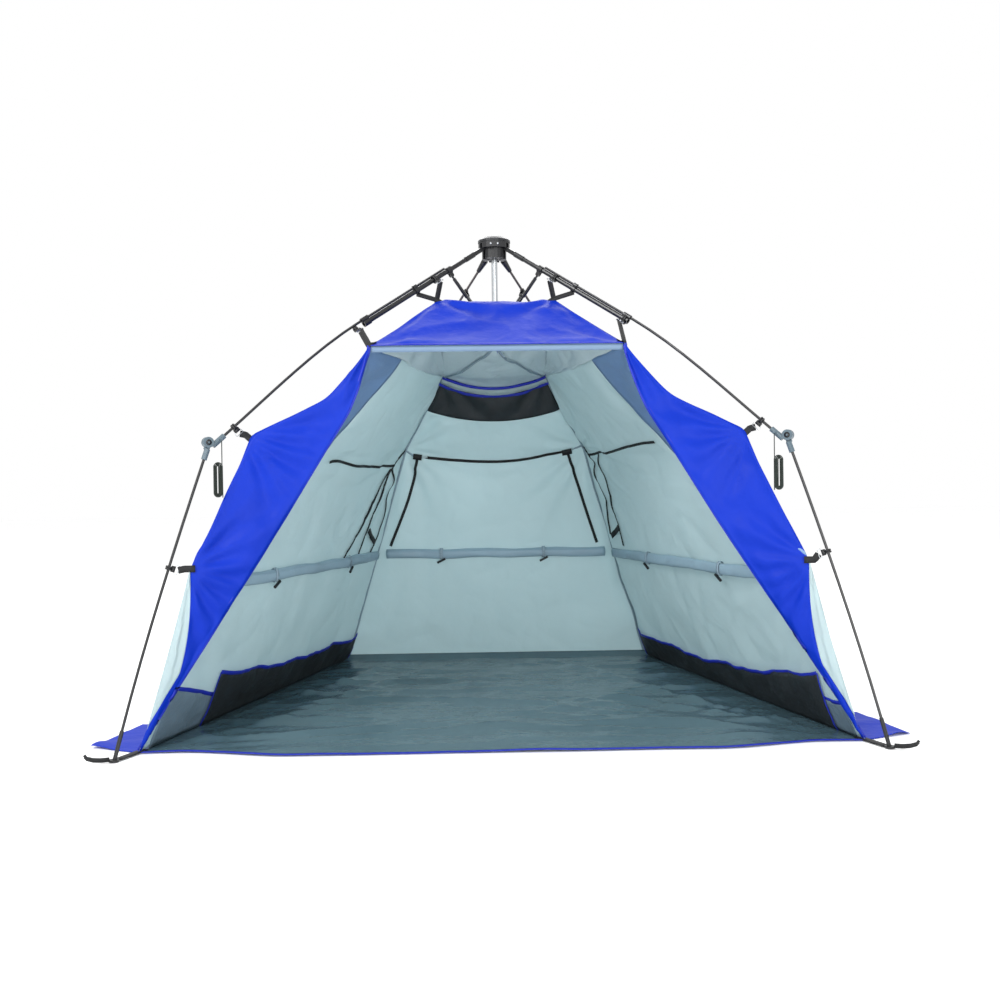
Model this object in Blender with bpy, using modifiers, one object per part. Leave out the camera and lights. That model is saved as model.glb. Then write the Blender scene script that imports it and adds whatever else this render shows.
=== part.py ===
"""Instant beach tent: a folding hub frame with four jointed poles, and the fabric shelter hung inside it.

Metres, +Z up. The origin is on the ground, straight below the hub. The open front faces -Y.
Each pole is drawn in its own upright plane, where x is the distance from the hub axis and z the height.
"""

import math

import bmesh
import bpy
from mathutils import Matrix, Vector

# Clearances and cloth
GAP = 0.0003
OVERRUN = 0.003
CLOTH = 0.0006
SEAM_GAP = 0.002
# Hems at a sheet's rails' starts and ends, and at its first and last rail
ALL_SEAMS = (SEAM_GAP, SEAM_GAP, SEAM_GAP, SEAM_GAP)
NO_HEMS = (0, 0, 0, 0)
WALL_HEMS = (0, SEAM_GAP, SEAM_GAP, SEAM_GAP)
SIDE_HEMS = (SEAM_GAP, SEAM_GAP, SEAM_GAP, CLOTH)
BACK_HEMS = (SEAM_GAP, SEAM_GAP, CLOTH, CLOTH)
FLAP_HEMS = (0, 0, GAP, 0)
STRAP_THICKNESS = 0.0012
STRAP_WIDTH = 0.020
STRAP_HEM = 0.006
STRAP_SEWN_SHARE = 0.04
CLIP_RADIUS = 0.0075

# Hub: the arms turn on pins inside it
PIVOT_HEIGHT = 1.580
PIVOT_RADIUS = 0.036
REAR_PIVOT_DROP = 0.018
PIN_RADIUS = 0.0025
PIN_REACH = 0.0112
HUB_RADIUS = 0.0545
HUB_DISC_THICKNESS = 0.021
DISC_BELOW_PIVOT = 0.005
SKIRT_RADIUS = 0.042
SKIRT_HEIGHT = 0.035
HUB_CORE_RADIUS = 0.018
SLOT_ROOF = 0.004
SLOT_PLAY = 0.0005
RECESS_RADIUS = 0.0135
RECESS_DEPTH = 0.018
CAP_RADIUS = 0.056
CAP_HEIGHT = 0.020
CAP_RIM_HEIGHT = 0.008
CAP_CROWN_RADIUS = 0.045
CAP_DIP_RADIUS = 0.020
CAP_DIP = 0.003

# Centre post and the lower hub that slides down on it
POST_RADIUS = 0.0105
POST_WALL = 0.0022
POST_INTO_HUB = 0.010
GUIDE_PLAY = 0.0004
GUIDE_LENGTH = 0.213
LOWER_PIN_DROP = 0.260
LOWER_PIN_HEIGHT = PIVOT_HEIGHT - LOWER_PIN_DROP
LOWER_PIN_RADIUS = 0.045
LOWER_HUB_RADIUS = 0.050
LOWER_HUB_BELOW = 0.020
LOWER_HUB_ABOVE = 0.012
LOWER_CORE_RADIUS = 0.020
BOSS_RADIUS = 0.016
BOSS_HEIGHT = 0.012
BOSS_SOCKET_DEPTH = 0.008

# Arms
FRONT_AZIMUTH = 32.5
REAR_AZIMUTH = 55.4
FRONT_SLOPE = 33.0
REAR_SLOPE = 34.6
LUG_RADIUS = 0.009
LUG_WIDTH = 0.012
LUG_DEPTH = 0.014
LUG_LENGTH = 0.060
SLEEVE_RADIUS = 0.0095
SLEEVE_LENGTH = 0.037
TUBE_RADIUS = 0.008
TUBE_WALL = 0.0012
TUBE_LENGTH = 0.556
FERRULE_RADIUS = 0.0108
FERRULE_LENGTH = 0.026
COLLAR_ALONG = 0.325
COLLAR_LENGTH = 0.014
ROD_RADIUS = 0.00425
ROD_GUIDE_RADIUS = 0.0078
ROD_START = 0.014
BOOT_RADIUS = 0.0115
BOOT_TIP_RADIUS = 0.0075
BOOT_LENGTH = 0.050
BOOT_START = 0.026
BOOT_BORE = 0.030

# Struts between the arms and the lower hub
FRONT_BRACKET_ALONG = 0.176
REAR_BRACKET_ALONG = 0.180
BRACKET_DROP = 0.019
BRACKET_LENGTH = 0.018
BRACKET_WALL = 0.0035
EAR_PLAY = 0.0004
EAR_THICKNESS = 0.0025
EAR_RADIUS = 0.0065
EAR_PIN_RADIUS = 0.0020
STRUT_EYE_RADIUS = 0.0058
STRUT_EYE_WIDTH = 0.0082
STRUT_ROD_RADIUS = 0.0038
SHEATH_RADIUS = 0.0060
SHEATH_START = 0.013
SHEATH_LENGTH = 0.078

# Elbows, legs and feet
FRONT_ELBOW_RADIUS = 1.010
REAR_ELBOW_RADIUS = 0.970
ELBOW_HEIGHT = 0.891
FRONT_ELBOW_SLOPE = 41.5
REAR_ELBOW_SLOPE = 37.5
LEG_SPREAD = 0.276
LEG_BEND = 2.0
KNUCKLE_RADIUS = 0.016
KNUCKLE_WIDTH = 0.021
TONGUE_WIDTH = 0.008
TONGUE_PLAY = 0.0004
ELBOW_PIN_RADIUS = 0.003
ELBOW_PIN_LENGTH = 0.025
SOCKET_RADIUS = 0.0085
UPPER_OFFSET = 0.017
UPPER_SOCKET_START = 0.050
UPPER_SOCKET_END = 0.004
UPPER_ROD_END = 0.020
LOWER_OFFSET = 0.005
LOWER_SOCKET_START = 0.0195
LOWER_SOCKET_END = 0.052
LOWER_ROD_START = 0.024
FOOT_RADIUS = 0.014
FOOT_HEIGHT = 0.006
FOOT_SLEEVE_RADIUS = 0.006
FOOT_SLEEVE_LENGTH = 0.081
FOOT_SLEEVE_START = 0.004
FOOT_BORE_START = 0.009

# Guy lines at the front elbows
GUY_EYE_BACK = 0.032
GUY_EYE_RADIUS = 0.0035
GUY_EYE_REACH = 0.022
GUY_DIAMETER = 0.003
GUY_OFFSET = 0.018
GUY_DROP = 0.062
HANK_LOOPS = 6
HANK_LOOP_POINTS = 24
HANK_HALF_HEIGHT = 0.040
HANK_FOLD_RADIUS = 0.0022
HANK_PITCH = 0.0037
HANK_TAIL = 0.012

# Fabric: where each corner hangs from the frame, on the +X side
CANOPY_CORNER_HANG = (-0.032, -0.141, -0.090)
RIDGE_ALONG = 0.243
RIDGE_HANG = (-0.007, -0.007, -0.071)
WING_CLIP_BACK = 0.040
WING_ELBOW_HANG = (-0.097, 0.058, 0.024)
LEG_CLIP_SHARE = 0.38
LEG_CLIP_STEP = 3
ARM_CLIP_STEP = 4
WING_LEG_HANG = (-0.030, 0.007, -0.027)
FRONT_FLOOR_INSET = (-0.035, 0.091, 0.0)
REAR_FLOOR_INSET = (-0.040, -0.057, 0.0)
REAR_WINDOW_HANG = (-0.172, -0.042, 0.029)
REAR_RIDGE_SHARE = 0.61
REAR_RIDGE_HANG = (-0.137, 0.071, 0.052)
VALLEY_BELOW_HUB = 0.055
SILL_SHARE = 0.55
SHOULDER_SHARE = 0.22
TIP_SHARE = 0.08
NECK_SHARE = 0.04
SHOULDER_BACK_STEP = (0.020, 0.060, 0.0)
FLAP_TIP = (0.162, 0.067)
FLAP_BACK = (0.109, 0.360)
FLAP_END_SHARE = 0.21
POCKET_HEIGHT = 0.137
POCKET_STAND_OFF = 0.006
POCKET_START_SHARE = 0.13
POCKET_END_SHARE = 0.96
ROLL_RADIUS = 0.016
ROLL_HEIGHT = 0.474
SIDE_ROLL_PLAY = 0.001
REAR_ROLL_PLAY = 0.002
SIDE_ROLL_SHARES = (0.10, 0.93)
REAR_ROLL_INSET = 0.040

# Inward sag of the walls in mm, row by row from the ground up, at these shares of each panel
MM_PER_METRE = 1000
SAG_ALONG = (0, 0.15, 0.3, 0.5, 0.7, 0.85, 1)
SAG_ACROSS = (0, 0.1, 0.3, 0.5, 0.7, 0.9, 1)
SIDE_WALL_SAG = (
    (13, 26, 40, 38, 29),
    (13, 35, 54, 53, 38),
    (13, 38, 31, 19, 23),
    (15, 45, 58, 50, 21),
    (23, 43, 48, 40, 23),
)
REAR_WALL_SAG = (
    (25, 25, 27, 25, 25),
    (30, 33, 37, 33, 30),
    (18, 29, 34, 29, 18),
    (10, 23, 28, 23, 10),
    (16, 27, 30, 27, 16),
)

# Steps along and across each sheet
FRONT_GRID = (6, 8)
SIDE_GRID = (8, 4)
BACK_GRID = (4, 4)
WING_GRID = (12, 4)
SHOULDER_GRID = (8, 3)
WALL_GRID = (12, 8)
REAR_GRID = (9, 8)
FLAP_GRID = (3, 2)
POCKET_GRID = (12, 3)
FLOOR_GRID = (3, 4)
POCKET_POINTS = 13

SIDES = 12
FINE_SIDES = 24
ROD_POINTS = 9

parts = bpy.data.collections.new("beach_tent")
cutters = bpy.data.collections.new("beach_tent_cutters")


def clear_scene():
    for obj in list(bpy.data.objects):
        bpy.data.objects.remove(obj)
    bpy.context.scene.collection.children.link(parts)
    bpy.context.scene.collection.children.link(cutters)
    cutters.hide_render = True


def material(name, colour, roughness, metallic=0.0):
    mat = bpy.data.materials.new(name)
    mat.use_nodes = True
    shader = mat.node_tree.nodes["Principled BSDF"]
    shader.inputs["Base Color"].default_value = (*colour, 1.0)
    shader.inputs["Roughness"].default_value = roughness
    shader.inputs["Metallic"].default_value = metallic
    return mat


# Shapes, each a closed bmesh in the plane of its pole
def cylinder(start, end, radius, end_radius=None, sides=SIDES):
    axis = end - start
    turn = axis.to_track_quat("Z", "Y").to_matrix().to_4x4()
    bm = bmesh.new()
    bmesh.ops.create_cone(
        bm,
        cap_ends=True,
        segments=sides,
        radius1=radius,
        radius2=radius if end_radius is None else end_radius,
        depth=axis.length,
        matrix=Matrix.Translation((start + end) / 2) @ turn,
    )
    return bm


def cross_pin(centre, radius, width, sides=SIDES):
    """A round piece across the pole's plane, as wide as stated."""
    half = Vector((0, width / 2, 0))
    return cylinder(centre - half, centre + half, radius, sides=sides)


def block(start, end, depth, width):
    """A bar from start to end, with its depth in the pole's plane and its width across it."""
    axis = end - start
    turn = Matrix.Rotation(math.atan2(axis.x, axis.z), 4, "Y")
    size = Matrix.Diagonal((depth, width, axis.length, 1))
    bm = bmesh.new()
    bmesh.ops.create_cube(bm, size=1, matrix=Matrix.Translation((start + end) / 2) @ turn @ size)
    return bm


def place(obj, origin, parent, mat):
    obj.location = origin
    obj.parent = parent
    obj.data.materials.append(mat)


def mesh_object(name, bm, origin, collection=parts):
    """The mesh as an object whose origin is at the given point, smooth where it is round."""
    bmesh.ops.translate(bm, verts=bm.verts, vec=-origin)
    mesh = bpy.data.meshes.new(name)
    bm.to_mesh(mesh)
    bm.free()
    mesh.shade_smooth()
    mesh.set_sharp_from_angle(angle=math.radians(35))
    obj = bpy.data.objects.new(name, mesh)
    collection.objects.link(obj)
    return obj


def combine(obj, bm, operation, origin, parent):
    """Adds a Boolean with a helper shape that stands in the same place."""
    helper = mesh_object(f"{obj.name}_{operation.lower()}_{len(obj.modifiers)}", bm, origin, cutters)
    helper.location = origin
    helper.parent = parent
    helper.hide_render = True
    helper.display_type = "WIRE"
    change = obj.modifiers.new(operation.title(), "BOOLEAN")
    change.operation = operation
    change.solver = "EXACT"
    change.object = helper


def solid(name, base, joined, cut, origin, parent, mat):
    obj = mesh_object(name, base, origin)
    place(obj, origin, parent, mat)
    for shape in joined:
        combine(obj, shape, "UNION", origin, parent)
    for shape in cut:
        combine(obj, shape, "DIFFERENCE", origin, parent)
    return obj


def turned(name, profile, origin, parent, mat, sides=FINE_SIDES):
    """A turned shape; the profile runs down its outer side, and joins up if its ends meet."""
    bm = bmesh.new()
    ring = profile[0] == profile[-1]
    verts = [bm.verts.new((x, 0, z)) for x, z in (profile[:-1] if ring else profile)]
    ends = verts[1:] + verts[:1] if ring else verts[1:]
    for a, b in zip(verts, ends):
        bm.edges.new((a, b))
    obj = mesh_object(name, bm, origin)
    screw = obj.modifiers.new("Turn", "SCREW")
    screw.steps = sides
    screw.render_steps = sides
    screw.use_merge_vertices = True
    screw.merge_threshold = 0.0001
    place(obj, origin, parent, mat)
    return obj


def tube(name, points, radius, origin, parent, mat, resolution=2):
    curve = bpy.data.curves.new(name, "CURVE")
    curve.dimensions = "3D"
    curve.bevel_depth = radius
    curve.bevel_resolution = resolution
    curve.use_fill_caps = True
    spline = curve.splines.new("POLY")
    spline.points.add(len(points) - 1)
    for knot, point in zip(spline.points, points):
        knot.co = (*(point - origin), 1)
    obj = bpy.data.objects.new(name, curve)
    parts.objects.link(obj)
    place(obj, origin, parent, mat)
    return obj


# Directions in a pole's plane
def outward(slope):
    """Along a pole that slopes down by so many degrees."""
    return Vector((math.cos(math.radians(slope)), 0, -math.sin(math.radians(slope))))


def above(slope):
    """Square to that pole, on its upper and outer side."""
    return Vector((math.sin(math.radians(slope)), 0, math.cos(math.radians(slope))))


def swept(start, start_slope, end, end_slope, count):
    """Points on one smooth bend that leaves and arrives at the given slopes."""
    reach = (end - start).length / 3
    knots = [start, start + outward(start_slope) * reach, end - outward(end_slope) * reach, end]
    points = []
    for step in range(count):
        t = step / (count - 1)
        weights = [(1 - t) ** 3, 3 * t * (1 - t) ** 2, 3 * t * t * (1 - t), t**3]
        points.append(sum((knot * weight for knot, weight in zip(knots, weights)), Vector()))
    return points


class Corner:
    """One pole: its turn about the hub axis and the places of its joints, in its own plane."""

    def __init__(self, name, front, side):
        self.name = name
        self.front = front
        self.side = side
        angle = math.radians(-FRONT_AZIMUTH if front else REAR_AZIMUTH)
        self.turn = angle if side > 0 else math.pi - angle
        self.slope = FRONT_SLOPE if front else REAR_SLOPE
        self.pivot = Vector((PIVOT_RADIUS, 0, PIVOT_HEIGHT - (0 if front else REAR_PIVOT_DROP)))
        reach = FRONT_BRACKET_ALONG if front else REAR_BRACKET_ALONG
        self.clamp = self.on_arm(reach)
        self.bracket_pin = self.clamp - above(self.slope) * BRACKET_DROP
        self.lower_pin = Vector((LOWER_PIN_RADIUS, 0, LOWER_PIN_HEIGHT))
        self.elbow = Vector((FRONT_ELBOW_RADIUS if front else REAR_ELBOW_RADIUS, 0, ELBOW_HEIGHT))
        self.elbow_slope = FRONT_ELBOW_SLOPE if front else REAR_ELBOW_SLOPE
        self.foot = Vector((self.elbow.x + LEG_SPREAD, 0, 0))
        leg_slope = math.degrees(math.atan2(ELBOW_HEIGHT, LEG_SPREAD))
        self.leg_top_slope = leg_slope - LEG_BEND
        self.leg_foot_slope = leg_slope + LEG_BEND
        self.empty = bpy.data.objects.new(f"{name}_corner", None)
        self.empty.rotation_euler = (0, 0, self.turn)
        parts.objects.link(self.empty)

    def on_arm(self, distance):
        return self.pivot + outward(self.slope) * distance

    def leg_clip(self):
        """On the leg rod, as it bends between its ends."""
        leave = self.lower_rod_line(LOWER_SOCKET_END)
        return swept(leave, self.leg_top_slope, self.foot, self.leg_foot_slope, ROD_POINTS)[LEG_CLIP_STEP]

    def arm_clip(self):
        """On the rear arm rod, over the rear end of the ridge seam."""
        leave = self.on_arm(REAR_BRACKET_ALONG + BRACKET_LENGTH)
        end = self.upper_rod_line(UPPER_SOCKET_START + OVERRUN)
        return swept(leave, self.slope, end, self.elbow_slope, ROD_POINTS)[ARM_CLIP_STEP]

    def elbow_clip(self):
        """On the arm rod, a little before the upper socket."""
        return self.upper_rod_line(UPPER_SOCKET_START + WING_CLIP_BACK)

    def world(self, point):
        return Matrix.Rotation(self.turn, 4, "Z") @ point

    def upper_rod_line(self, distance):
        """On the axis of the upper socket, so far before the knuckle."""
        line = self.elbow - above(self.elbow_slope) * UPPER_OFFSET
        return line - outward(self.elbow_slope) * distance

    def lower_rod_line(self, distance):
        line = self.elbow - above(self.leg_top_slope) * LOWER_OFFSET
        return line + outward(self.leg_top_slope) * distance


# The hub and the post
def top_hub(corners, mat):
    bottom = PIVOT_HEIGHT - DISC_BELOW_PIVOT - SKIRT_HEIGHT
    disc = PIVOT_HEIGHT - DISC_BELOW_PIVOT
    top = disc + HUB_DISC_THICKNESS
    profile = [
        (0, top),
        (HUB_RADIUS, top),
        (HUB_RADIUS, disc),
        (SKIRT_RADIUS, disc),
        (SKIRT_RADIUS, bottom),
        (RECESS_RADIUS, bottom),
        (RECESS_RADIUS, bottom + RECESS_DEPTH),
        (0, bottom + RECESS_DEPTH),
    ]
    hub = turned("top_hub", profile, Vector(), None, mat)
    for corner in corners:
        slot_top = top - SLOT_ROOF
        middle = (slot_top + bottom - OVERRUN) / 2
        slot = block(
            Vector((HUB_CORE_RADIUS, 0, middle)),
            Vector((HUB_RADIUS + OVERRUN, 0, middle)),
            slot_top - bottom + OVERRUN,
            LUG_WIDTH + 2 * SLOT_PLAY,
        )
        combine(hub, slot, "DIFFERENCE", Vector(), corner.empty)
        hole = cross_pin(corner.pivot, PIN_RADIUS + GAP, 2 * (PIN_REACH + GAP))
        combine(hub, hole, "DIFFERENCE", Vector(), corner.empty)


def hub_cap(mat):
    base = PIVOT_HEIGHT - DISC_BELOW_PIVOT + HUB_DISC_THICKNESS + GAP
    profile = [
        (0, base + CAP_HEIGHT - CAP_DIP),
        (CAP_DIP_RADIUS, base + CAP_HEIGHT - CAP_DIP / 2),
        ((CAP_DIP_RADIUS + CAP_CROWN_RADIUS) / 2, base + CAP_HEIGHT),
        (CAP_CROWN_RADIUS, base + (CAP_HEIGHT * 2 + CAP_RIM_HEIGHT) / 3),
        (CAP_RADIUS, base + CAP_RIM_HEIGHT),
        (CAP_RADIUS, base),
        (0, base),
    ]
    turned("hub_cap", profile, Vector(), None, mat)


def centre_post(corners, steel, plastic, runner):
    hub_bottom = PIVOT_HEIGHT - DISC_BELOW_PIVOT - SKIRT_HEIGHT
    guide_top = hub_bottom + RECESS_DEPTH - GAP
    guide_radius = POST_RADIUS - POST_WALL - GUIDE_PLAY
    guide = cylinder(
        Vector((0, 0, guide_top - GUIDE_LENGTH)), Vector((0, 0, guide_top)), guide_radius, sides=FINE_SIDES
    )
    solid("guide_rod", guide, [], [], Vector(), None, steel)

    hub_top = LOWER_PIN_HEIGHT + LOWER_HUB_ABOVE
    hub_base = LOWER_PIN_HEIGHT - LOWER_HUB_BELOW
    socket_floor = hub_top + BOSS_HEIGHT - BOSS_SOCKET_DEPTH
    socket_radius = POST_RADIUS + GAP
    profile = [
        (0, socket_floor),
        (socket_radius, socket_floor),
        (socket_radius, hub_top + BOSS_HEIGHT),
        (BOSS_RADIUS, hub_top + BOSS_HEIGHT),
        (BOSS_RADIUS, hub_top),
        (LOWER_HUB_RADIUS, hub_top),
        (LOWER_HUB_RADIUS, hub_base),
        (0, hub_base),
    ]
    origin = Vector((0, 0, LOWER_PIN_HEIGHT))
    lower = turned("lower_hub", profile, origin, runner, plastic)
    for corner in corners:
        middle = (hub_top + hub_base) / 2
        slot = block(
            Vector((LOWER_CORE_RADIUS, 0, middle)),
            Vector((LOWER_HUB_RADIUS + OVERRUN, 0, middle)),
            hub_top - hub_base + 2 * OVERRUN,
            STRUT_EYE_WIDTH + 2 * SLOT_PLAY,
        )
        combine(lower, slot, "DIFFERENCE", Vector(), corner.empty)

    inner = POST_RADIUS - POST_WALL
    top = hub_bottom + POST_INTO_HUB
    low = socket_floor + GAP
    ring = [(inner, top), (POST_RADIUS, top), (POST_RADIUS, low), (inner, low), (inner, top)]
    turned("post_tube", ring, origin, runner, steel)


# The poles
def front_arm(corner, steel):
    """Plastic end with its pin, the tube, and the ferrule and collar that hold the rod on top."""
    line = corner.on_arm
    lift = above(corner.slope) * (TUBE_RADIUS + ROD_RADIUS + 2 * GAP)
    sleeve_end = LUG_LENGTH + SLEEVE_LENGTH
    ferrule = TUBE_LENGTH - FERRULE_LENGTH
    collar = COLLAR_ALONG - COLLAR_LENGTH / 2
    joined = [
        cylinder(line(LUG_LENGTH - OVERRUN), line(sleeve_end), SLEEVE_RADIUS),
        block(line(0), line(LUG_LENGTH), LUG_DEPTH, LUG_WIDTH - GAP),
        cross_pin(corner.pivot, LUG_RADIUS, LUG_WIDTH),
        cross_pin(corner.pivot, PIN_RADIUS, 2 * PIN_REACH),
        cylinder(line(ferrule), line(TUBE_LENGTH), FERRULE_RADIUS),
        cylinder(line(ferrule) + lift, line(TUBE_LENGTH + OVERRUN) + lift, ROD_GUIDE_RADIUS),
        cylinder(line(collar), line(collar + COLLAR_LENGTH), FERRULE_RADIUS),
        cylinder(line(collar) + lift, line(collar + COLLAR_LENGTH) + lift, ROD_GUIDE_RADIUS),
    ]
    cut = [
        cylinder(line(collar - OVERRUN) + lift, line(TUBE_LENGTH + 2 * OVERRUN) + lift, ROD_RADIUS + GAP),
        cylinder(line(sleeve_end + OVERRUN), line(TUBE_LENGTH + OVERRUN), TUBE_RADIUS - TUBE_WALL),
    ]
    base = cylinder(line(sleeve_end - OVERRUN), line(TUBE_LENGTH - GAP), TUBE_RADIUS)
    solid(f"arm_tube_{corner.name}", base, joined, cut, corner.pivot, corner.empty, steel)


def rear_arm(corner, plastic):
    """Conical boot with its lug and pin; the rod sits in its bore."""
    line = corner.on_arm
    joined = [
        block(line(0), line(BOOT_START + OVERRUN), LUG_DEPTH, LUG_WIDTH - GAP),
        cross_pin(corner.pivot, LUG_RADIUS, LUG_WIDTH),
        cross_pin(corner.pivot, PIN_RADIUS, 2 * PIN_REACH),
    ]
    cut = [cylinder(line(BOOT_BORE), line(BOOT_START + BOOT_LENGTH + OVERRUN), ROD_RADIUS + GAP)]
    base = cylinder(line(BOOT_START), line(BOOT_START + BOOT_LENGTH), BOOT_RADIUS, BOOT_TIP_RADIUS)
    solid(f"arm_boot_{corner.name}", base, joined, cut, corner.pivot, corner.empty, plastic)


def arm_rod(corner, glass_fibre):
    """Glass-fibre rod: it lies on top of the front tube, or fills the rear boot, and bends to the elbow."""
    end = corner.upper_rod_line(UPPER_SOCKET_START + OVERRUN)
    if corner.front:
        lift = above(corner.slope) * (TUBE_RADIUS + ROD_RADIUS + 2 * GAP)
        first = corner.on_arm(FRONT_BRACKET_ALONG + ROD_START) + lift
        leave = corner.on_arm(TUBE_LENGTH + 2 * OVERRUN) + lift
    else:
        first = corner.on_arm(BOOT_BORE + GAP)
        leave = corner.on_arm(REAR_BRACKET_ALONG + BRACKET_LENGTH)
    points = [first] + swept(leave, corner.slope, end, corner.elbow_slope, ROD_POINTS)
    points.append(corner.upper_rod_line(UPPER_ROD_END))
    tube(f"arm_rod_{corner.name}", points, ROD_RADIUS, corner.pivot, corner.empty, glass_fibre)


def strut_bracket(corner, plastic):
    """Clamp round the arm, with two ears and the strut's pin below it."""
    carrier = TUBE_RADIUS if corner.front else ROD_RADIUS
    half = outward(corner.slope) * (BRACKET_LENGTH / 2)
    ear_centre = STRUT_EYE_WIDTH / 2 + EAR_PLAY + EAR_THICKNESS / 2
    joined = []
    for side in (-1, 1):
        across = Vector((0, side * ear_centre, 0))
        top = corner.clamp - above(corner.slope) * carrier
        joined.append(block(top + across, corner.bracket_pin + across, EAR_RADIUS * 2, EAR_THICKNESS))
        joined.append(cross_pin(corner.bracket_pin + across, EAR_RADIUS, EAR_THICKNESS + GAP))
    hole = cylinder(corner.clamp - half * 2, corner.clamp + half * 2, carrier + GAP)
    ring = cylinder(corner.clamp - half, corner.clamp + half, carrier + GAP + BRACKET_WALL)
    name = f"strut_bracket_{corner.name}"
    bracket = solid(name, ring, joined, [hole], corner.pivot, corner.empty, plastic)
    pin = cross_pin(corner.bracket_pin, EAR_PIN_RADIUS, 2 * ear_centre + 2 * EAR_THICKNESS)
    combine(bracket, pin, "UNION", corner.pivot, corner.empty)


def strut(corner, steel):
    """Rod with a sheath at its upper end and a flat eye at each end."""
    top, foot = corner.bracket_pin, corner.lower_pin
    down = (foot - top).normalized()
    joined = [
        cylinder(top + down * SHEATH_START, top + down * (SHEATH_START + SHEATH_LENGTH), SHEATH_RADIUS),
        cross_pin(top, STRUT_EYE_RADIUS, STRUT_EYE_WIDTH),
        cross_pin(foot, STRUT_EYE_RADIUS, STRUT_EYE_WIDTH),
    ]
    cut = [cross_pin(top, EAR_PIN_RADIUS + GAP, STRUT_EYE_WIDTH + 2 * OVERRUN)]
    base = cylinder(top, foot, STRUT_ROD_RADIUS)
    solid(f"strut_{corner.name}", base, joined, cut, corner.bracket_pin, corner.empty, steel)


def elbow_upper(corner, plastic):
    """Socket for the arm rod, and two round ears with the pin."""
    slot_radius = LOWER_SOCKET_START - GAP
    joined = [cross_pin(corner.elbow, KNUCKLE_RADIUS, KNUCKLE_WIDTH, FINE_SIDES)]
    slot = cross_pin(corner.elbow, slot_radius, TONGUE_WIDTH + 2 * TONGUE_PLAY, FINE_SIDES)
    bore_end = corner.upper_rod_line(UPPER_ROD_END - 2 * GAP)
    bore = cylinder(corner.upper_rod_line(UPPER_SOCKET_START + OVERRUN), bore_end, ROD_RADIUS + GAP)
    base = cylinder(
        corner.upper_rod_line(UPPER_SOCKET_START), corner.upper_rod_line(UPPER_SOCKET_END), SOCKET_RADIUS
    )
    name = f"elbow_upper_{corner.name}"
    obj = solid(name, base, joined, [slot, bore], corner.pivot, corner.empty, plastic)
    pin = cross_pin(corner.elbow, ELBOW_PIN_RADIUS, ELBOW_PIN_LENGTH)
    combine(obj, pin, "UNION", corner.pivot, corner.empty)
    if corner.front:
        forward = Vector((0, -corner.side, 0))
        root = guy_eye(corner) + forward * (ROD_RADIUS + SOCKET_RADIUS) / 2
        tip = guy_eye(corner) + forward * GUY_EYE_REACH
        combine(obj, cylinder(root, tip, GUY_EYE_RADIUS), "UNION", corner.pivot, corner.empty)


def elbow_lower(corner, plastic):
    """Socket for the leg rod, with the tongue that turns between the ears."""
    line = corner.lower_rod_line
    side_step = above(corner.leg_top_slope) * LOWER_OFFSET
    joined = [
        cross_pin(corner.elbow, KNUCKLE_RADIUS - GAP, TONGUE_WIDTH, FINE_SIDES),
        block(
            line(0) + side_step / 2,
            line(LOWER_SOCKET_START + OVERRUN) + side_step / 2,
            KNUCKLE_RADIUS,
            TONGUE_WIDTH - GAP,
        ),
    ]
    cut = [
        cross_pin(corner.elbow, ELBOW_PIN_RADIUS + GAP, TONGUE_WIDTH + 2 * OVERRUN),
        cylinder(line(LOWER_ROD_START - GAP), line(LOWER_SOCKET_END + OVERRUN), ROD_RADIUS + GAP),
    ]
    base = cylinder(line(LOWER_SOCKET_START), line(LOWER_SOCKET_END), SOCKET_RADIUS)
    solid(f"elbow_lower_{corner.name}", base, joined, cut, corner.elbow, corner.empty, plastic)


def leg_rod(corner, glass_fibre):
    start = corner.lower_rod_line(LOWER_ROD_START)
    leave = corner.lower_rod_line(LOWER_SOCKET_END)
    up = -outward(corner.leg_foot_slope)
    end = corner.foot + up * (FOOT_BORE_START + GAP)
    arrive = corner.foot + up * (FOOT_SLEEVE_START + FOOT_SLEEVE_LENGTH)
    bend = swept(leave, corner.leg_top_slope, arrive, corner.leg_foot_slope, ROD_POINTS)
    name = f"leg_rod_{corner.name}"
    tube(name, [start] + bend + [end], ROD_RADIUS, corner.elbow, corner.empty, glass_fibre)


def foot(corner, plastic):
    """Pad on the ground with the sleeve that grips the leg rod."""
    up = -outward(corner.leg_foot_slope)
    sleeve_top = FOOT_SLEEVE_START + FOOT_SLEEVE_LENGTH
    sleeve_base = corner.foot + up * FOOT_SLEEVE_START
    sleeve = cylinder(sleeve_base, corner.foot + up * sleeve_top, FOOT_SLEEVE_RADIUS)
    bore = cylinder(
        corner.foot + up * FOOT_BORE_START, corner.foot + up * (sleeve_top + OVERRUN), ROD_RADIUS + GAP
    )
    base = cylinder(corner.foot, corner.foot + Vector((0, 0, FOOT_HEIGHT)), FOOT_RADIUS)
    solid(f"foot_{corner.name}", base, [sleeve], [bore], corner.elbow, corner.empty, plastic)


# Guy lines
def guy_eye(corner):
    return corner.upper_rod_line(GUY_EYE_BACK)


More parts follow.
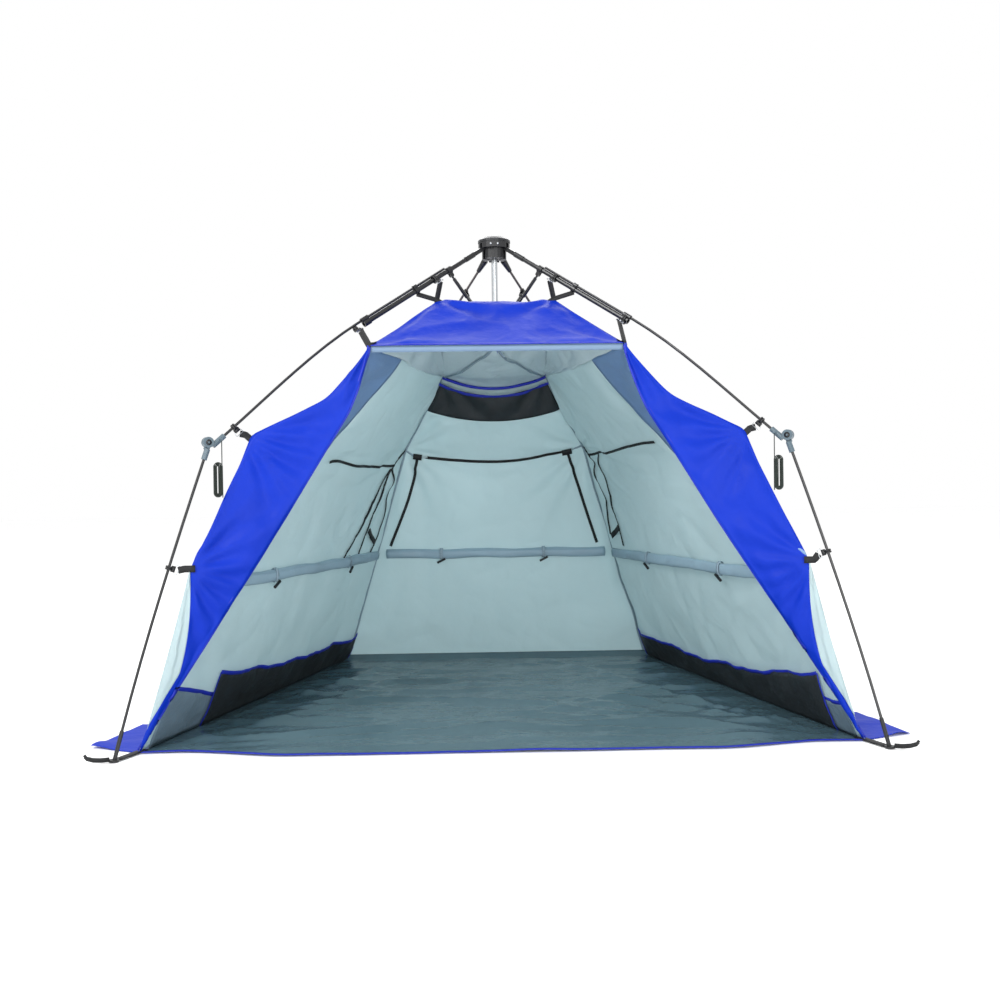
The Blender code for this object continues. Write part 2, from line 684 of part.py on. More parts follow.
def hank_path(top, across):
    """One unbroken path of long loops: it spirals in through one layer and out again through the next."""
    straight = HANK_HALF_HEIGHT - HANK_FOLD_RADIUS
    middle = top - Vector((0, 0, HANK_HALF_HEIGHT + HANK_TAIL))
    outer = HANK_FOLD_RADIUS + HANK_PITCH * HANK_LOOPS / 2

    def at(width, layer, height):
        return middle + Vector((outer - width, across * HANK_PITCH * layer, height))

    points = [at(outer, 0, HANK_HALF_HEIGHT + HANK_TAIL), at(outer, 0, straight)]
    for step in range(HANK_LOOPS * HANK_LOOP_POINTS):
        turns = (step + 0.5) / HANK_LOOP_POINTS
        angle = math.pi + 2 * math.pi * turns
        width = HANK_FOLD_RADIUS + HANK_PITCH * abs(HANK_LOOPS / 2 - turns)
        layer = min(max((turns - HANK_LOOPS / 2) * 2 + 0.5, 0), 1)
        height = width * math.sin(angle) + math.copysign(straight, math.sin(angle))
        points.append(at(-width * math.cos(angle), layer, height))
    points += [at(outer, 1, -straight), at(outer, 1, -HANK_HALF_HEIGHT - HANK_TAIL)]
    return points


def least_self_gap(points, diameter):
    """Between stretches of the cord that are not neighbours along it, on its points and their midpoints."""
    fine = []
    for a, b in zip(points, points[1:]):
        fine += [a, (a + b) / 2]
    travelled = [0.0]
    for a, b in zip(fine, fine[1:]):
        travelled.append(travelled[-1] + (b - a).length)
    least = math.inf
    for i, a in enumerate(fine):
        for j in range(i + 1, len(fine)):
            if travelled[j] - travelled[i] > math.pi * HANK_FOLD_RADIUS:
                least = min(least, (a - fine[j]).length - diameter)
    return least


def guy_line(corner, cord):
    """Free stretch from the elbow's eye, and the hank that hangs on it."""
    below_eye = Vector((0, -corner.side * GUY_OFFSET, -GUY_EYE_RADIUS - GAP))
    top = guy_eye(corner) + below_eye
    foot_of_line = top - Vector((0, 0, GUY_DROP))
    steps = ROD_POINTS + ROD_POINTS
    line = [top.lerp(foot_of_line, step / steps) for step in range(steps + 1)]
    radius = GUY_DIAMETER / 2
    tube(f"guy_line_{corner.name}", line, radius, corner.pivot, corner.empty, cord)
    path = hank_path(foot_of_line - Vector((0, 0, GAP)), -corner.side)
    print(f"guy_hank_{corner.name}: least gap to itself {1000 * least_self_gap(path, GUY_DIAMETER):.2f} mm")
    tube(f"guy_hank_{corner.name}", path, radius, corner.pivot, corner.empty, cord, resolution=1)


# Fabric
class Fabric:
    """The corners of the fabric on one side; each one hangs from a place on the frame."""

    def __init__(self, front, rear):
        self.front = front
        self.rear = rear
        side = front.side
        self.side = side
        self.word = "left" if side < 0 else "right"

        def hang(corner, point, offset):
            return corner.world(point) + Vector((side * offset[0], offset[1], offset[2]))

        self.canopy = hang(front, front.on_arm(TUBE_LENGTH), CANOPY_CORNER_HANG)
        self.ridge = hang(front, front.on_arm(RIDGE_ALONG), RIDGE_HANG)
        self.wing_elbow = hang(front, front.elbow, WING_ELBOW_HANG)
        self.wing_leg = hang(front, front.elbow.lerp(front.foot, LEG_CLIP_SHARE), WING_LEG_HANG)
        self.floor_front = hang(front, front.foot, FRONT_FLOOR_INSET)
        self.floor_rear = hang(rear, rear.foot, REAR_FLOOR_INSET)
        self.window = hang(rear, rear.elbow, REAR_WINDOW_HANG)
        self.rear_ridge = hang(rear, rear.pivot.lerp(rear.elbow, REAR_RIDGE_SHARE), REAR_RIDGE_HANG)
        self.valley = Vector((0, 0, LOWER_PIN_HEIGHT - LOWER_HUB_BELOW - VALLEY_BELOW_HUB))
        lift = Vector((0, 0, STRAP_THICKNESS + 2 * GAP))
        self.wall_front = self.floor_front + lift
        self.wall_rear = self.floor_rear + lift
        self.sill = self.wall_rear.lerp(self.window, SILL_SHARE)
        self.shoulder = self.canopy.lerp(self.rear_ridge, SHOULDER_SHARE)
        step = Vector((side * SHOULDER_BACK_STEP[0], SHOULDER_BACK_STEP[1], SHOULDER_BACK_STEP[2]))
        self.shoulder_back = self.wing_leg.lerp(self.shoulder, 1 / 2) + step

    def on_wall(self, along, height):
        """A point on the lower side wall, at a share of its length and a height above the ground."""
        low = self.wall_front.lerp(self.wall_rear, along)
        high = self.wing_leg.lerp(self.sill, along)
        return low.lerp(high, (height - low.z) / (high.z - low.z))

    def on_sag(self, along, height):
        """The same point once the wall has sagged; it lies in the first of the panel's three spans."""
        low = self.wall_front.lerp(self.wall_rear, along)
        high = self.wing_leg.lerp(self.sill, along)
        share = (height - low.z) / (high.z - low.z) / 3
        return self.on_wall(along, height) + self.inward(along) * swell(SIDE_WALL_SAG, share, along)

    def inward(self, along):
        low = self.wall_front.lerp(self.wall_rear, along)
        high = self.wing_leg.lerp(self.sill, along)
        normal = (high - low).cross(self.wall_rear - self.wall_front).normalized()
        return normal if normal.x * self.side < 0 else -normal


def between(points, share):
    """A place on a line of points, each span taking an equal share."""
    spans = len(points) - 1
    index = min(int(share * spans), spans - 1)
    return points[index].lerp(points[index + 1], share * spans - index)


def swell(sag, along_share, across_share):
    """Depth of a sagging panel at a place, read from its table between the table's own places."""
    rows = [0.0] + [between_values(SAG_ACROSS, (0, *row, 0), across_share) for row in sag] + [0.0]
    return between_values(SAG_ALONG, rows, along_share) / MM_PER_METRE


def between_values(places, values, place):
    for k in range(len(places) - 1):
        if place <= places[k + 1]:
            share = (place - places[k]) / (places[k + 1] - places[k])
            return values[k] + (values[k + 1] - values[k]) * share
    return values[-1]


def sheet(name, rails, grid, mat, hems=ALL_SEAMS, sag=(), way=1):
    """Cloth from the first rail to the last. The hems pull it in at its rails' starts and ends and at its
    first and last rail. It sags towards the cross product of along and across, or away from it."""
    along, across = grid
    columns = []
    for i in range(along + 1):
        stations = [between(rail, i / along) for rail in rails]
        columns.append([between(stations, j / across) for j in range(across + 1)])
    columns = [pulled_in(column, hems[2], hems[3]) for column in columns]
    rows = [pulled_in([column[j] for column in columns], hems[0], hems[1]) for j in range(across + 1)]
    bm = bmesh.new()
    grid = []
    for i in range(along + 1):
        line = []
        for j in range(across + 1):
            here = rows[j][i]
            if sag and 0 < i < along and 0 < j < across:
                normal = (rows[j][i + 1] - rows[j][i - 1]).cross(rows[j + 1][i] - rows[j - 1][i])
                here = here + normal.normalized() * way * swell(sag, i / along, j / across)
            line.append(bm.verts.new(here))
        grid.append(line)
    for i in range(along):
        for j in range(across):
            bm.faces.new((grid[i][j], grid[i + 1][j], grid[i + 1][j + 1], grid[i][j + 1]))
    obj = mesh_object(name, bm, Vector())
    place(obj, Vector(), None, mat)
    cloth = obj.modifiers.new("Cloth", "SOLIDIFY")
    cloth.thickness = CLOTH
    cloth.offset = 0
    return obj


def pulled_in(line, at_start, at_end):
    first = line[0] + (line[1] - line[0]).normalized() * at_start
    last = line[-1] + (line[-2] - line[-1]).normalized() * at_end
    return [first] + line[1:-1] + [last]


def strap(cloth, sewn, target, run, clear, wide=None):
    """Webbing from a sewn point to the round piece that it holds, whose run passes the target point."""
    pull = (target - sewn).normalized()
    start = sewn - pull * STRAP_HEM
    wide = run if wide is None else wide
    width = (wide - pull * wide.dot(pull)).normalized()
    turn = Matrix((width, pull.cross(width), pull)).transposed().to_4x4()
    size = Matrix.Diagonal((STRAP_WIDTH, STRAP_THICKNESS, (target - start).length, 1))
    bm = bmesh.new()
    bmesh.ops.create_cube(bm, size=1, matrix=Matrix.Translation((start + target) / 2) @ turn @ size)
    combine(cloth, bm, "UNION", Vector(), None)
    reach = run.normalized() * STRAP_WIDTH
    combine(cloth, cylinder(target - reach, target + reach, clear + GAP), "DIFFERENCE", Vector(), None)


def roof(left, right, blue):
    """Front panel with its fall behind the ridge, the two side panels and the back triangle."""
    valley = right.valley
    near_left = valley.lerp(left.ridge, TIP_SHARE)
    near_right = valley.lerp(right.ridge, TIP_SHARE)
    rails = [[left.canopy, left.ridge, near_left], [right.canopy, right.ridge, near_right]]
    front = sheet("roof_front", rails, FRONT_GRID, blue)
    for side in (left, right):
        corner = side.front
        run = corner.world(outward(corner.slope))
        ferrule = corner.world(corner.on_arm(TUBE_LENGTH - FERRULE_LENGTH / 2))
        sewn = side.canopy.lerp(side.ridge, STRAP_SEWN_SHARE)
        strap(front, sewn, ferrule, run, FERRULE_RADIUS, right.canopy - left.canopy)
        ridge_ring = corner.world(corner.on_arm(RIDGE_ALONG))
        sewn = side.ridge - Vector((side.side * STRAP_WIDTH, 0, 0))
        strap(front, sewn, ridge_ring, run, TUBE_RADIUS)
    for side in (left, right):
        tip = side.rear_ridge
        outer = [side.canopy, side.shoulder, side.shoulder.lerp(tip, 1 - TIP_SHARE)]
        halfway = side.ridge.lerp(tip, 1 / 2)
        middle = [side.ridge, halfway, halfway.lerp(tip, 1 - TIP_SHARE)]
        inner = [side.ridge, valley, valley.lerp(tip, 1 - TIP_SHARE)]
        rails = [outer, middle, inner]
        name = f"roof_side_{side.word}"
        sheet(name, rails, SIDE_GRID, blue, SIDE_HEMS)
    low = valley.lerp(left.rear_ridge, NECK_SHARE), valley.lerp(right.rear_ridge, NECK_SHARE)
    rails = [[low[0], left.rear_ridge], [low[1], right.rear_ridge]]
    sheet("roof_back", rails, BACK_GRID, blue, BACK_HEMS)


def side_panels(side, blue, grey, mesh_net):
    """Wing, shoulder, side wall, sand flap and gear pocket of one side."""
    word = side.word
    opening = [side.canopy.lerp(side.wall_front, share / 3) for share in range(4)]
    opening[0] = side.canopy.lerp(opening[1], TIP_SHARE)
    opening[3] = side.wall_front.lerp(opening[2], TIP_SHARE)
    top_tip = side.canopy.lerp(side.wing_elbow, TIP_SHARE)
    low_tip = side.wall_front.lerp(side.wing_leg, TIP_SHARE)
    outer = [top_tip, side.wing_elbow, side.wing_leg, low_tip]
    wing = sheet(f"wing_{word}", [opening, outer], WING_GRID, blue)
    corner = side.front
    sewn = side.wing_elbow.lerp(opening[1], STRAP_SEWN_SHARE)
    arm_run = corner.world(outward(corner.elbow_slope))
    strap(wing, sewn, corner.world(corner.elbow_clip()), arm_run, CLIP_RADIUS, side.wing_leg - side.canopy)
    sewn = side.wing_leg.lerp(opening[2], STRAP_SEWN_SHARE)
    leg_run = corner.world(corner.foot - corner.elbow)
    edge = side.wall_front - side.wing_leg
    strap(wing, sewn, corner.world(corner.leg_clip()), leg_run, CLIP_RADIUS, edge)

    front_edge = [side.wing_leg.lerp(side.wing_elbow, TIP_SHARE), side.wing_elbow, side.canopy]
    rear_edge = [side.wing_leg.lerp(side.shoulder_back, TIP_SHARE), side.shoulder_back, side.shoulder]
    sheet(f"shoulder_{word}", [front_edge, rear_edge], SHOULDER_GRID, blue)

    front_rail = [side.wall_front, side.wing_leg, side.shoulder_back, side.shoulder]
    rear_rail = [side.wall_rear, side.sill, side.window, side.rear_ridge]
    rails = [front_rail, rear_rail]
    wall = sheet(f"side_wall_{word}", rails, WALL_GRID, grey, WALL_HEMS, SIDE_WALL_SAG, side.side)
    corner = side.rear
    sewn = side.rear_ridge.lerp(side.shoulder_back, STRAP_SEWN_SHARE)
    arm_run = corner.world(corner.elbow - corner.pivot)
    strap(wall, sewn, corner.world(corner.arm_clip()), arm_run, CLIP_RADIUS)
    sewn = side.window.lerp(side.shoulder_back, STRAP_SEWN_SHARE)
    arm_run = corner.world(outward(corner.elbow_slope))
    strap(wall, sewn, corner.world(corner.elbow_clip()), arm_run, CLIP_RADIUS)

    flap_start = side.floor_front
    flap_end = side.floor_front.lerp(side.floor_rear, FLAP_END_SHARE)
    tip = side.floor_front + Vector((side.side * FLAP_TIP[0], FLAP_TIP[1], 0))
    back = side.floor_front + Vector((side.side * FLAP_BACK[0], FLAP_BACK[1], 0))
    rails = [[flap_start, flap_end], [tip, back]]
    lift = Vector((0, 0, CLOTH / 2))
    rails = [[point + lift for point in rail] for rail in rails]
    sheet(f"sand_flap_{word}", rails, FLAP_GRID, blue, FLAP_HEMS)

    heights = (CLOTH + GAP + CLOTH / 2, POCKET_HEIGHT)
    rails = []
    for height in heights:
        rail = []
        for step in range(POCKET_POINTS):
            share = step / (POCKET_POINTS - 1)
            along = POCKET_START_SHARE + (POCKET_END_SHARE - POCKET_START_SHARE) * share
            flat = side.inward(along) * POCKET_STAND_OFF
            rail.append(side.on_sag(along, height) + Vector((flat.x, flat.y, 0)))
        rails.append(rail)
    sheet(f"gear_pocket_{word}", rails, POCKET_GRID, mesh_net, NO_HEMS)


def rear_wall(left, right, grey):
    rails = []
    for side in (left, right):
        rails.append([side.wall_rear, side.sill, side.window, side.rear_ridge])
    sheet("rear_wall", rails, REAR_GRID, grey, WALL_HEMS, REAR_WALL_SAG, -1)


def floor(left, right, ground_sheet):
    lift = Vector((0, 0, CLOTH / 2))
    rails = [[side.floor_front + lift, side.floor_rear + lift] for side in (left, right)]
    sheet_object = sheet("floor", rails, FLOOR_GRID, ground_sheet, NO_HEMS)
    for side in (left, right):
        centre = (side.floor_front + side.floor_rear) / 2
        for corner, edge in ((side.front, side.floor_front), (side.rear, side.floor_rear)):
            lift = Vector((0, 0, STRAP_THICKNESS / 2 + GAP))
            sewn = edge.lerp(Vector((0, centre.y, 0)), STRAP_SEWN_SHARE) + lift
            target = corner.world(corner.foot) + lift
            flat = (target - sewn).cross(Vector((0, 0, 1)))
            strap(sheet_object, sewn, target, Vector((0, 0, 1)), FOOT_RADIUS, flat)


def rolled_flaps(left, right, grey):
    """Window covers rolled down and tied at the sill."""
    shares = SIDE_ROLL_SHARES
    for side in (left, right):
        points = []
        for step in range(ROD_POINTS):
            along = shares[0] + (shares[1] - shares[0]) * step / (ROD_POINTS - 1)
            inward = side.inward(along) * (ROLL_RADIUS + CLOTH + GAP + SIDE_ROLL_PLAY)
            points.append(side.on_sag(along, ROLL_HEIGHT) + inward)
        tube(f"rolled_flap_{side.word}", points, ROLL_RADIUS, Vector(), None, grey)
    share = (ROLL_HEIGHT - left.wall_rear.z) / (left.window.z - left.wall_rear.z)
    ends = [side.wall_rear.lerp(side.window, share) for side in (left, right)]
    slope = (right.wall_rear.y - right.window.y) / (right.window.z - right.wall_rear.z)
    lean = math.sqrt(1 + slope * slope)
    width = ends[1].x - ends[0].x
    up_share = between_values((0, SILL_SHARE, 1), (0, 1 / 3, 2 / 3), share)
    points = []
    for step in range(ROD_POINTS):
        across = REAR_ROLL_INSET + (width - 2 * REAR_ROLL_INSET) * step / (ROD_POINTS - 1)
        depth = ROLL_RADIUS + CLOTH + GAP + REAR_ROLL_PLAY + swell(REAR_WALL_SAG, up_share, across / width)
        points.append(ends[0] + Vector((across, -depth * lean, 0)))
    tube("rolled_flap_rear", points, ROLL_RADIUS, Vector(), None, grey)


def main():
    clear_scene()
    black = material("black_plastic", (0.02, 0.02, 0.022), 0.45)
    grey_plastic = material("slate_plastic", (0.06, 0.08, 0.10), 0.45)
    black_steel = material("black_steel", (0.025, 0.025, 0.027), 0.35, 0.6)
    bright_steel = material("bright_steel", (0.45, 0.45, 0.45), 0.25, 1.0)
    glass_fibre = material("glass_fibre", (0.03, 0.03, 0.03), 0.4)
    blue = material("blue_cloth", (0.015, 0.045, 0.62), 0.6)
    grey = material("grey_cloth", (0.40, 0.47, 0.49), 0.6)
    ground_sheet = material("ground_sheet", (0.06, 0.09, 0.10), 0.4)
    net = material("black_net", (0.02, 0.02, 0.02), 0.8)
    line = material("guy_cord", (0.03, 0.05, 0.03), 0.8)

    corners = []
    for row, front in (("front", True), ("rear", False)):
        for word, side in (("left", -1), ("right", 1)):
            corners.append(Corner(f"{row}_{word}", front, side))
    runner = bpy.data.objects.new("runner", None)
    parts.objects.link(runner)

    top_hub(corners, black)
    hub_cap(black)
    centre_post(corners, bright_steel, black, runner)
    for corner in corners:
        if corner.front:
            front_arm(corner, black_steel)
            guy_line(corner, line)
        else:
            rear_arm(corner, black)
        arm_rod(corner, glass_fibre)
        strut_bracket(corner, black)
        strut(corner, black_steel)
        elbow_upper(corner, grey_plastic)
        elbow_lower(corner, grey_plastic)
        leg_rod(corner, glass_fibre)
        foot(corner, black)

    left = Fabric(corners[0], corners[2])
    right = Fabric(corners[1], corners[3])
    roof(left, right, blue)
    for side in (left, right):
        side_panels(side, blue, grey, net)
    rear_wall(left, right, grey)
    floor(left, right, ground_sheet)
    rolled_flaps(left, right, grey)


main()
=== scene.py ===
"""Looks of the beach tent: the frame keeps its solids, and the cloth is sewn, hung and simulated here."""
import math

import bmesh
import bpy
from mathutils import Matrix, Vector, noise


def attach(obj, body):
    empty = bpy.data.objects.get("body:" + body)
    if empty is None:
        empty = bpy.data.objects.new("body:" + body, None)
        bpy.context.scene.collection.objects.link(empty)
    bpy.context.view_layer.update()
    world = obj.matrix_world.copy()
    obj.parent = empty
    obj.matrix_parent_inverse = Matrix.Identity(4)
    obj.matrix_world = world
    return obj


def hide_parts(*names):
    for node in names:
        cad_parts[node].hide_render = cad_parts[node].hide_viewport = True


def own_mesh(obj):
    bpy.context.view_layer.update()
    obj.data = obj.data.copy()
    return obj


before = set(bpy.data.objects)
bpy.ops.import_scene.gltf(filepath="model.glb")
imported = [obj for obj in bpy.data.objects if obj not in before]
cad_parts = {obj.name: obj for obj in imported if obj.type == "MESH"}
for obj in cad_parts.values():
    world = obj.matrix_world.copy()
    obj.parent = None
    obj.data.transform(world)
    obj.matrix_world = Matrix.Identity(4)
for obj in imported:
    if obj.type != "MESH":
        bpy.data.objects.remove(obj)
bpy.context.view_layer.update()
UP = Vector((0, 0, 1))
BELOW = Vector((0, 0, -9))
ROOT = "hub_and_fabric"
CORNERS = ("front_left", "front_right", "rear_left", "rear_right")
SIDES = {-1: "left", 1: "right"}
# Radii of the glass-fibre rods and the arm tubes, and the guy line's diameter, in metres
ROD, TUBE, CORD_DIAMETER = 0.00425, 0.0080, 0.003


# Colours and finishes
def srgb(text):
    """Linear colour of an sRGB hex value."""
    values = [int(text[i : i + 2], 16) / 255 for i in (1, 3, 5)]
    return tuple(v / 12.92 if v <= 0.04045 else ((v + 0.055) / 1.055) ** 2.4 for v in values) + (1.0,)


def add(tree, kind, **values):
    """A shader node with its inputs set by name; a tuple (node, output) is linked."""
    node = tree.nodes.new(kind)
    for key, value in values.items():
        if hasattr(node, key):
            setattr(node, key, value)
            continue
        numbered = key[0] == "i" and key[1:].isdigit()
        socket = node.inputs[int(key[1:]) if numbered else key.replace("_", " ")]
        if isinstance(value, tuple) and len(value) == 2 and hasattr(value[0], "outputs"):
            tree.links.new(value[0].outputs[value[1]], socket)
        else:
            socket.default_value = value
    return node


def material(name, colour, roughness, metallic=0.0, bumps=(), mottle=0.0, thin=0.0, coat=0.0, clear=None, shine=0.5):
    """bumps are (size in mm, height in mm) of noise; mottle darkens and lightens at 300 mm; thin lets light
    through; clear is the share of open gaps, in a net of the size given in mm."""
    mat = bpy.data.materials.new(name)
    mat.use_nodes = True
    tree = mat.node_tree
    shader = tree.nodes["Principled BSDF"]
    output = tree.nodes["Material Output"]
    for socket, value in (("Base Color", srgb(colour)), ("Roughness", roughness), ("Metallic", metallic),
                          ("Coat Weight", coat), ("Specular IOR Level", shine)):
        shader.inputs[socket].default_value = value
    place = add(tree, "ShaderNodeTexCoord")
    if mottle:
        patch = add(tree, "ShaderNodeTexNoise", Vector=(place, "Object"), Scale=4.0, Detail=3.0)
        value = add(tree, "ShaderNodeMapRange", Value=(patch, 0), i1=0.3, i2=0.7, i3=1 - mottle, i4=1 + mottle)
        tint = add(tree, "ShaderNodeHueSaturation", Color=srgb(colour), Value=(value, 0))
        tree.links.new(tint.outputs[0], shader.inputs["Base Color"])
    last = None
    for size, height in bumps:
        grain = add(tree, "ShaderNodeTexNoise", Vector=(place, "Object"), Scale=1000 / size, Detail=2.0)
        bump = add(tree, "ShaderNodeBump", Height=(grain, 0), Distance=height / 1000, Strength=1.0)
        if last:
            tree.links.new(last.outputs[0], bump.inputs["Normal"])
        last = bump
    if last:
        tree.links.new(last.outputs[0], shader.inputs["Normal"])
    surface = shader
    if thin:
        through = add(tree, "ShaderNodeBsdfTranslucent", Color=srgb(colour))
        surface = add(tree, "ShaderNodeMixShader", i0=thin, i1=(surface, 0), i2=(through, 0))
    if clear:
        share, size = clear
        apart = add(tree, "ShaderNodeSeparateXYZ", Vector=(place, "Object"))
        waves = []
        for axis in (1, 2):
            turn = add(tree, "ShaderNodeMath", operation="MULTIPLY", i0=(apart, axis), i1=2000 * math.pi / size)
            waves.append(add(tree, "ShaderNodeMath", operation="SINE", i0=(turn, 0)))
        top = add(tree, "ShaderNodeMath", operation="MAXIMUM", i0=(waves[0], 0), i1=(waves[1], 0))
        limit = math.sin(math.pi * (share**0.5 - 0.5))
        hole = add(tree, "ShaderNodeMath", operation="LESS_THAN", i0=(top, 0), i1=limit)
        open_gap = add(tree, "ShaderNodeBsdfTransparent")
        surface = add(tree, "ShaderNodeMixShader", i0=(hole, 0), i1=(surface, 0), i2=(open_gap, 0))
    tree.links.new(surface.outputs[0], output.inputs["Surface"])
    return mat


# Dyed plain-weave polyester with a soft sheen and fine creases
CREASED = ((60, 4.0), (14, 0.6))
BLUE = material("royal_blue_polyester", "#0230B6", 0.5, bumps=CREASED, mottle=0.05, thin=0.20, shine=0.2)
# The same cloth's silver coating, seen from inside; blue shows through it where it hangs in the light
COATING = material("silver_coating", "#CBDDE0", 0.5, bumps=CREASED, mottle=0.04, thin=0.08)
BLUISH = material("silver_coating_on_blue", "#6F8FB8", 0.5, bumps=CREASED, mottle=0.04, thin=0.08)
# Polyester with a pale silver-grey coating
GREY = material("silver_grey_polyester", "#CBDDE0", 0.5, bumps=((70, 4.5), (16, 0.7)), mottle=0.04, thin=0.45)
# Coated ground sheet, dark green-grey and slightly shiny
GROUND = material("coated_ground_sheet", "#4A626B", 0.24, bumps=((60, 4.0), (12, 0.8)), mottle=0.07)
# The same sheet where it is raised as a tub, paler in the light
TUB = material("coated_tub_sheet", "#6B7E8C", 0.35, bumps=((40, 4.0), (10, 0.8)), mottle=0.14)
# Black knitted net
NET = material("black_knitted_net", "#20262A", 0.65, bumps=((30, 3.0),), clear=(0.03, 3.0))
# Grosgrain binding of the edges
BINDING = material("blue_binding", "#1226A8", 0.6, bumps=((3, 0.1),))
# Grey woven seam tape, and the facing inside the canopy's front edge, given a darker grey-blue of painted shade where
# it hangs in shadow
GREY_TAPE = material("grey_tape", "#8FA3B0", 0.6, bumps=((3, 0.1),))
SHADED_TAPE = material("facing_painted_shade", "#6E86A0", 0.7)
# Black webbing and zip tape
WEBBING = material("black_webbing", "#121315", 0.75, bumps=((2, 0.15),))
# Moulded nylon with a fine grain
BLACK = material("black_nylon", "#141517", 0.42, bumps=((1.2, 0.02),))
DARK_DISC = material("hub_cap_nylon", "#1B1D20", 0.36, bumps=((1.5, 0.02),))
SLATE = material("slate_nylon", "#4E5F69", 0.38, bumps=((1.5, 0.02),), coat=0.1)
# Drawn steel tube
BRIGHT = material("bright_steel", "#B9BDC0", 0.24, metallic=1.0)
# Powder-coated steel and pultruded glass fibre
BLACK_STEEL = material("black_coated_steel", "#17181A", 0.34, metallic=0.3, coat=0.3)
GLASS_FIBRE = material("black_glass_fibre", "#1A1A1B", 0.35, coat=0.15)
TAUPE = material("taupe_glass_fibre", "#4B4540", 0.4)
# Plated rivet heads
DOT = material("pale_rivet", "#C8CCCE", 0.3, metallic=0.6)
# The rolled covers, where several layers of the grey cloth lie on each other
ROLLED = material("rolled_grey_polyester", "#8FA9B8", 0.5, bumps=((40, 3.0), (8, 0.5)), mottle=0.08)
# Braided cord, dark with a green fleck
CORD = material("braided_guy_cord", "#1D2621", 0.7, bumps=((2, 0.3),), mottle=0.3)


# Building helpers
def linked(name, data):
    obj = bpy.data.objects.new(name, data)
    bpy.context.scene.collection.objects.link(obj)
    return obj


def new_object(name, mesh, mat=None, body=ROOT):
    obj = linked(name, mesh)
    if mat:
        obj.data.materials.clear()
        obj.data.materials.append(mat)
    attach(obj, body)
    return obj


def solid(bm, name, mat, body=ROOT):
    return new_object(name, from_bmesh(bm, name), mat, body)


def from_bmesh(bm, name):
    bmesh.ops.recalc_face_normals(bm, faces=bm.faces)
    mesh = bpy.data.meshes.new(name)
    bm.to_mesh(mesh)
    bm.free()
    for polygon in mesh.polygons:
        polygon.use_smooth = True
    return mesh


def rings(bm, centres, sides, radius, closed=False):
    """A tube along centres."""
    loops = []
    count = len(centres)
    previous = None
    for i, centre in enumerate(centres):
        ahead = centres[(i + 1) % count] if closed or i + 1 < count else centre
        behind = centres[i - 1] if closed or i else centre
        run = (ahead - behind).normalized()
        wide = previous or run.orthogonal()
        wide = (wide - run * wide.dot(run)).normalized()
        previous = wide
        thick = run.cross(wide)
        loop = []
        for k in range(sides):
            angle = 2 * math.pi * (k + 0.5) / sides
            reach = wide * math.cos(angle) * radius + thick * math.sin(angle) * radius
            loop.append(bm.verts.new(centre + reach))
        loops.append(loop)
    spans = count if closed else count - 1
    for i in range(spans):
        a, b = loops[i], loops[(i + 1) % count]
        for k in range(sides):
            bm.faces.new((a[k], a[(k + 1) % sides], b[(k + 1) % sides], b[k]))
    if not closed:
        bm.faces.new(list(reversed(loops[0])))
        bm.faces.new(loops[-1])


def band(bm, centres, width, thickness, normals):
    """Flat tape along centres, lying on the surface with these normals."""
    loops = []
    for i, centre in enumerate(centres):
        run = run_at(centres, i)
        normal = (normals[i] - run * normals[i].dot(run)).normalized()
        side = run.cross(normal) * width / 2
        lift = normal * thickness / 2
        loops.append([bm.verts.new(centre + v) for v in (side + lift, -side + lift, -side - lift, side - lift)])
    for a, b in zip(loops, loops[1:]):
        for k in range(4):
            bm.faces.new((a[k], a[(k + 1) % 4], b[(k + 1) % 4], b[k]))
    bm.faces.new(list(reversed(loops[0])))
    bm.faces.new(loops[-1])


def disc(bm, centre, axis, radius, thickness, sides=24):
    turn = axis.normalized().to_track_quat("Z", "Y").to_matrix().to_4x4()
    bmesh.ops.create_cone(bm, cap_ends=True, segments=sides, radius1=radius, radius2=radius, depth=thickness,
                          matrix=Matrix.Translation(centre) @ turn)


def box(bm, centre, sizes, turn=Matrix()):
    bmesh.ops.create_cube(bm, size=1, matrix=Matrix.Translation(centre) @ turn @ Matrix.Diagonal((*sizes, 1)))


def ring_points(centre, wide, high, count=20):
    """Points of an ellipse with these two half axes."""
    angles = [2 * math.pi * k / count for k in range(count)]
    return [centre + wide * math.cos(angle) + high * math.sin(angle) for angle in angles]


def length_of(points):
    return sum((b - a).length for a, b in zip(points, points[1:]))


def run_at(path, i):
    """Direction of a path at its point i."""
    return (path[min(i + 1, len(path) - 1)] - path[max(i - 1, 0)]).normalized()


def around(axis, radius):
    """Two half axes square to an axis."""
    wide = axis.orthogonal().normalized()
    return wide * radius, axis.normalized().cross(wide) * radius


def sink(obj):
    """Gives a piece of cloth its own copy of its mesh."""
    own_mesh(obj)


def soft(obj, nodes=()):
    """Gives a sheet of cloth its own mesh and hides the solids of the nodes it replaces."""
    sink(obj)
    if nodes:
        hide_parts(*nodes)


# Places on the right side; the left is its mirror image
CANOPY = Vector((0.3916, -0.4109, 1.1872))
RIDGE = Vector((0.1952, -0.1358, 1.3767))
WING_ELBOW = Vector((0.7548, -0.4847, 0.9150))
WING_LEG = Vector((0.9103, -0.5920, 0.5254))
WALL_FRONT = Vector((1.0496, -0.6000, 0.0018))
WALL_REAR = Vector((0.6675, 0.9686, 0.0018))
SILL = Vector((0.5087, 0.8519, 0.5070))
WINDOW = Vector((0.3788, 0.7564, 0.9200))
KINK = Vector((0.2070, 0.5696, 1.2047))
VALLEY = Vector((0.0, 0.0, 1.2450))
SHOULDER = CANOPY.lerp(KINK, 0.29)
SHOULDER_BACK = WING_LEG.lerp(SHOULDER, 0.5) + Vector((-0.028, 0.265, 0.010))


def mirrored(v, side):
    return Vector((v.x * side, v.y, v.z))


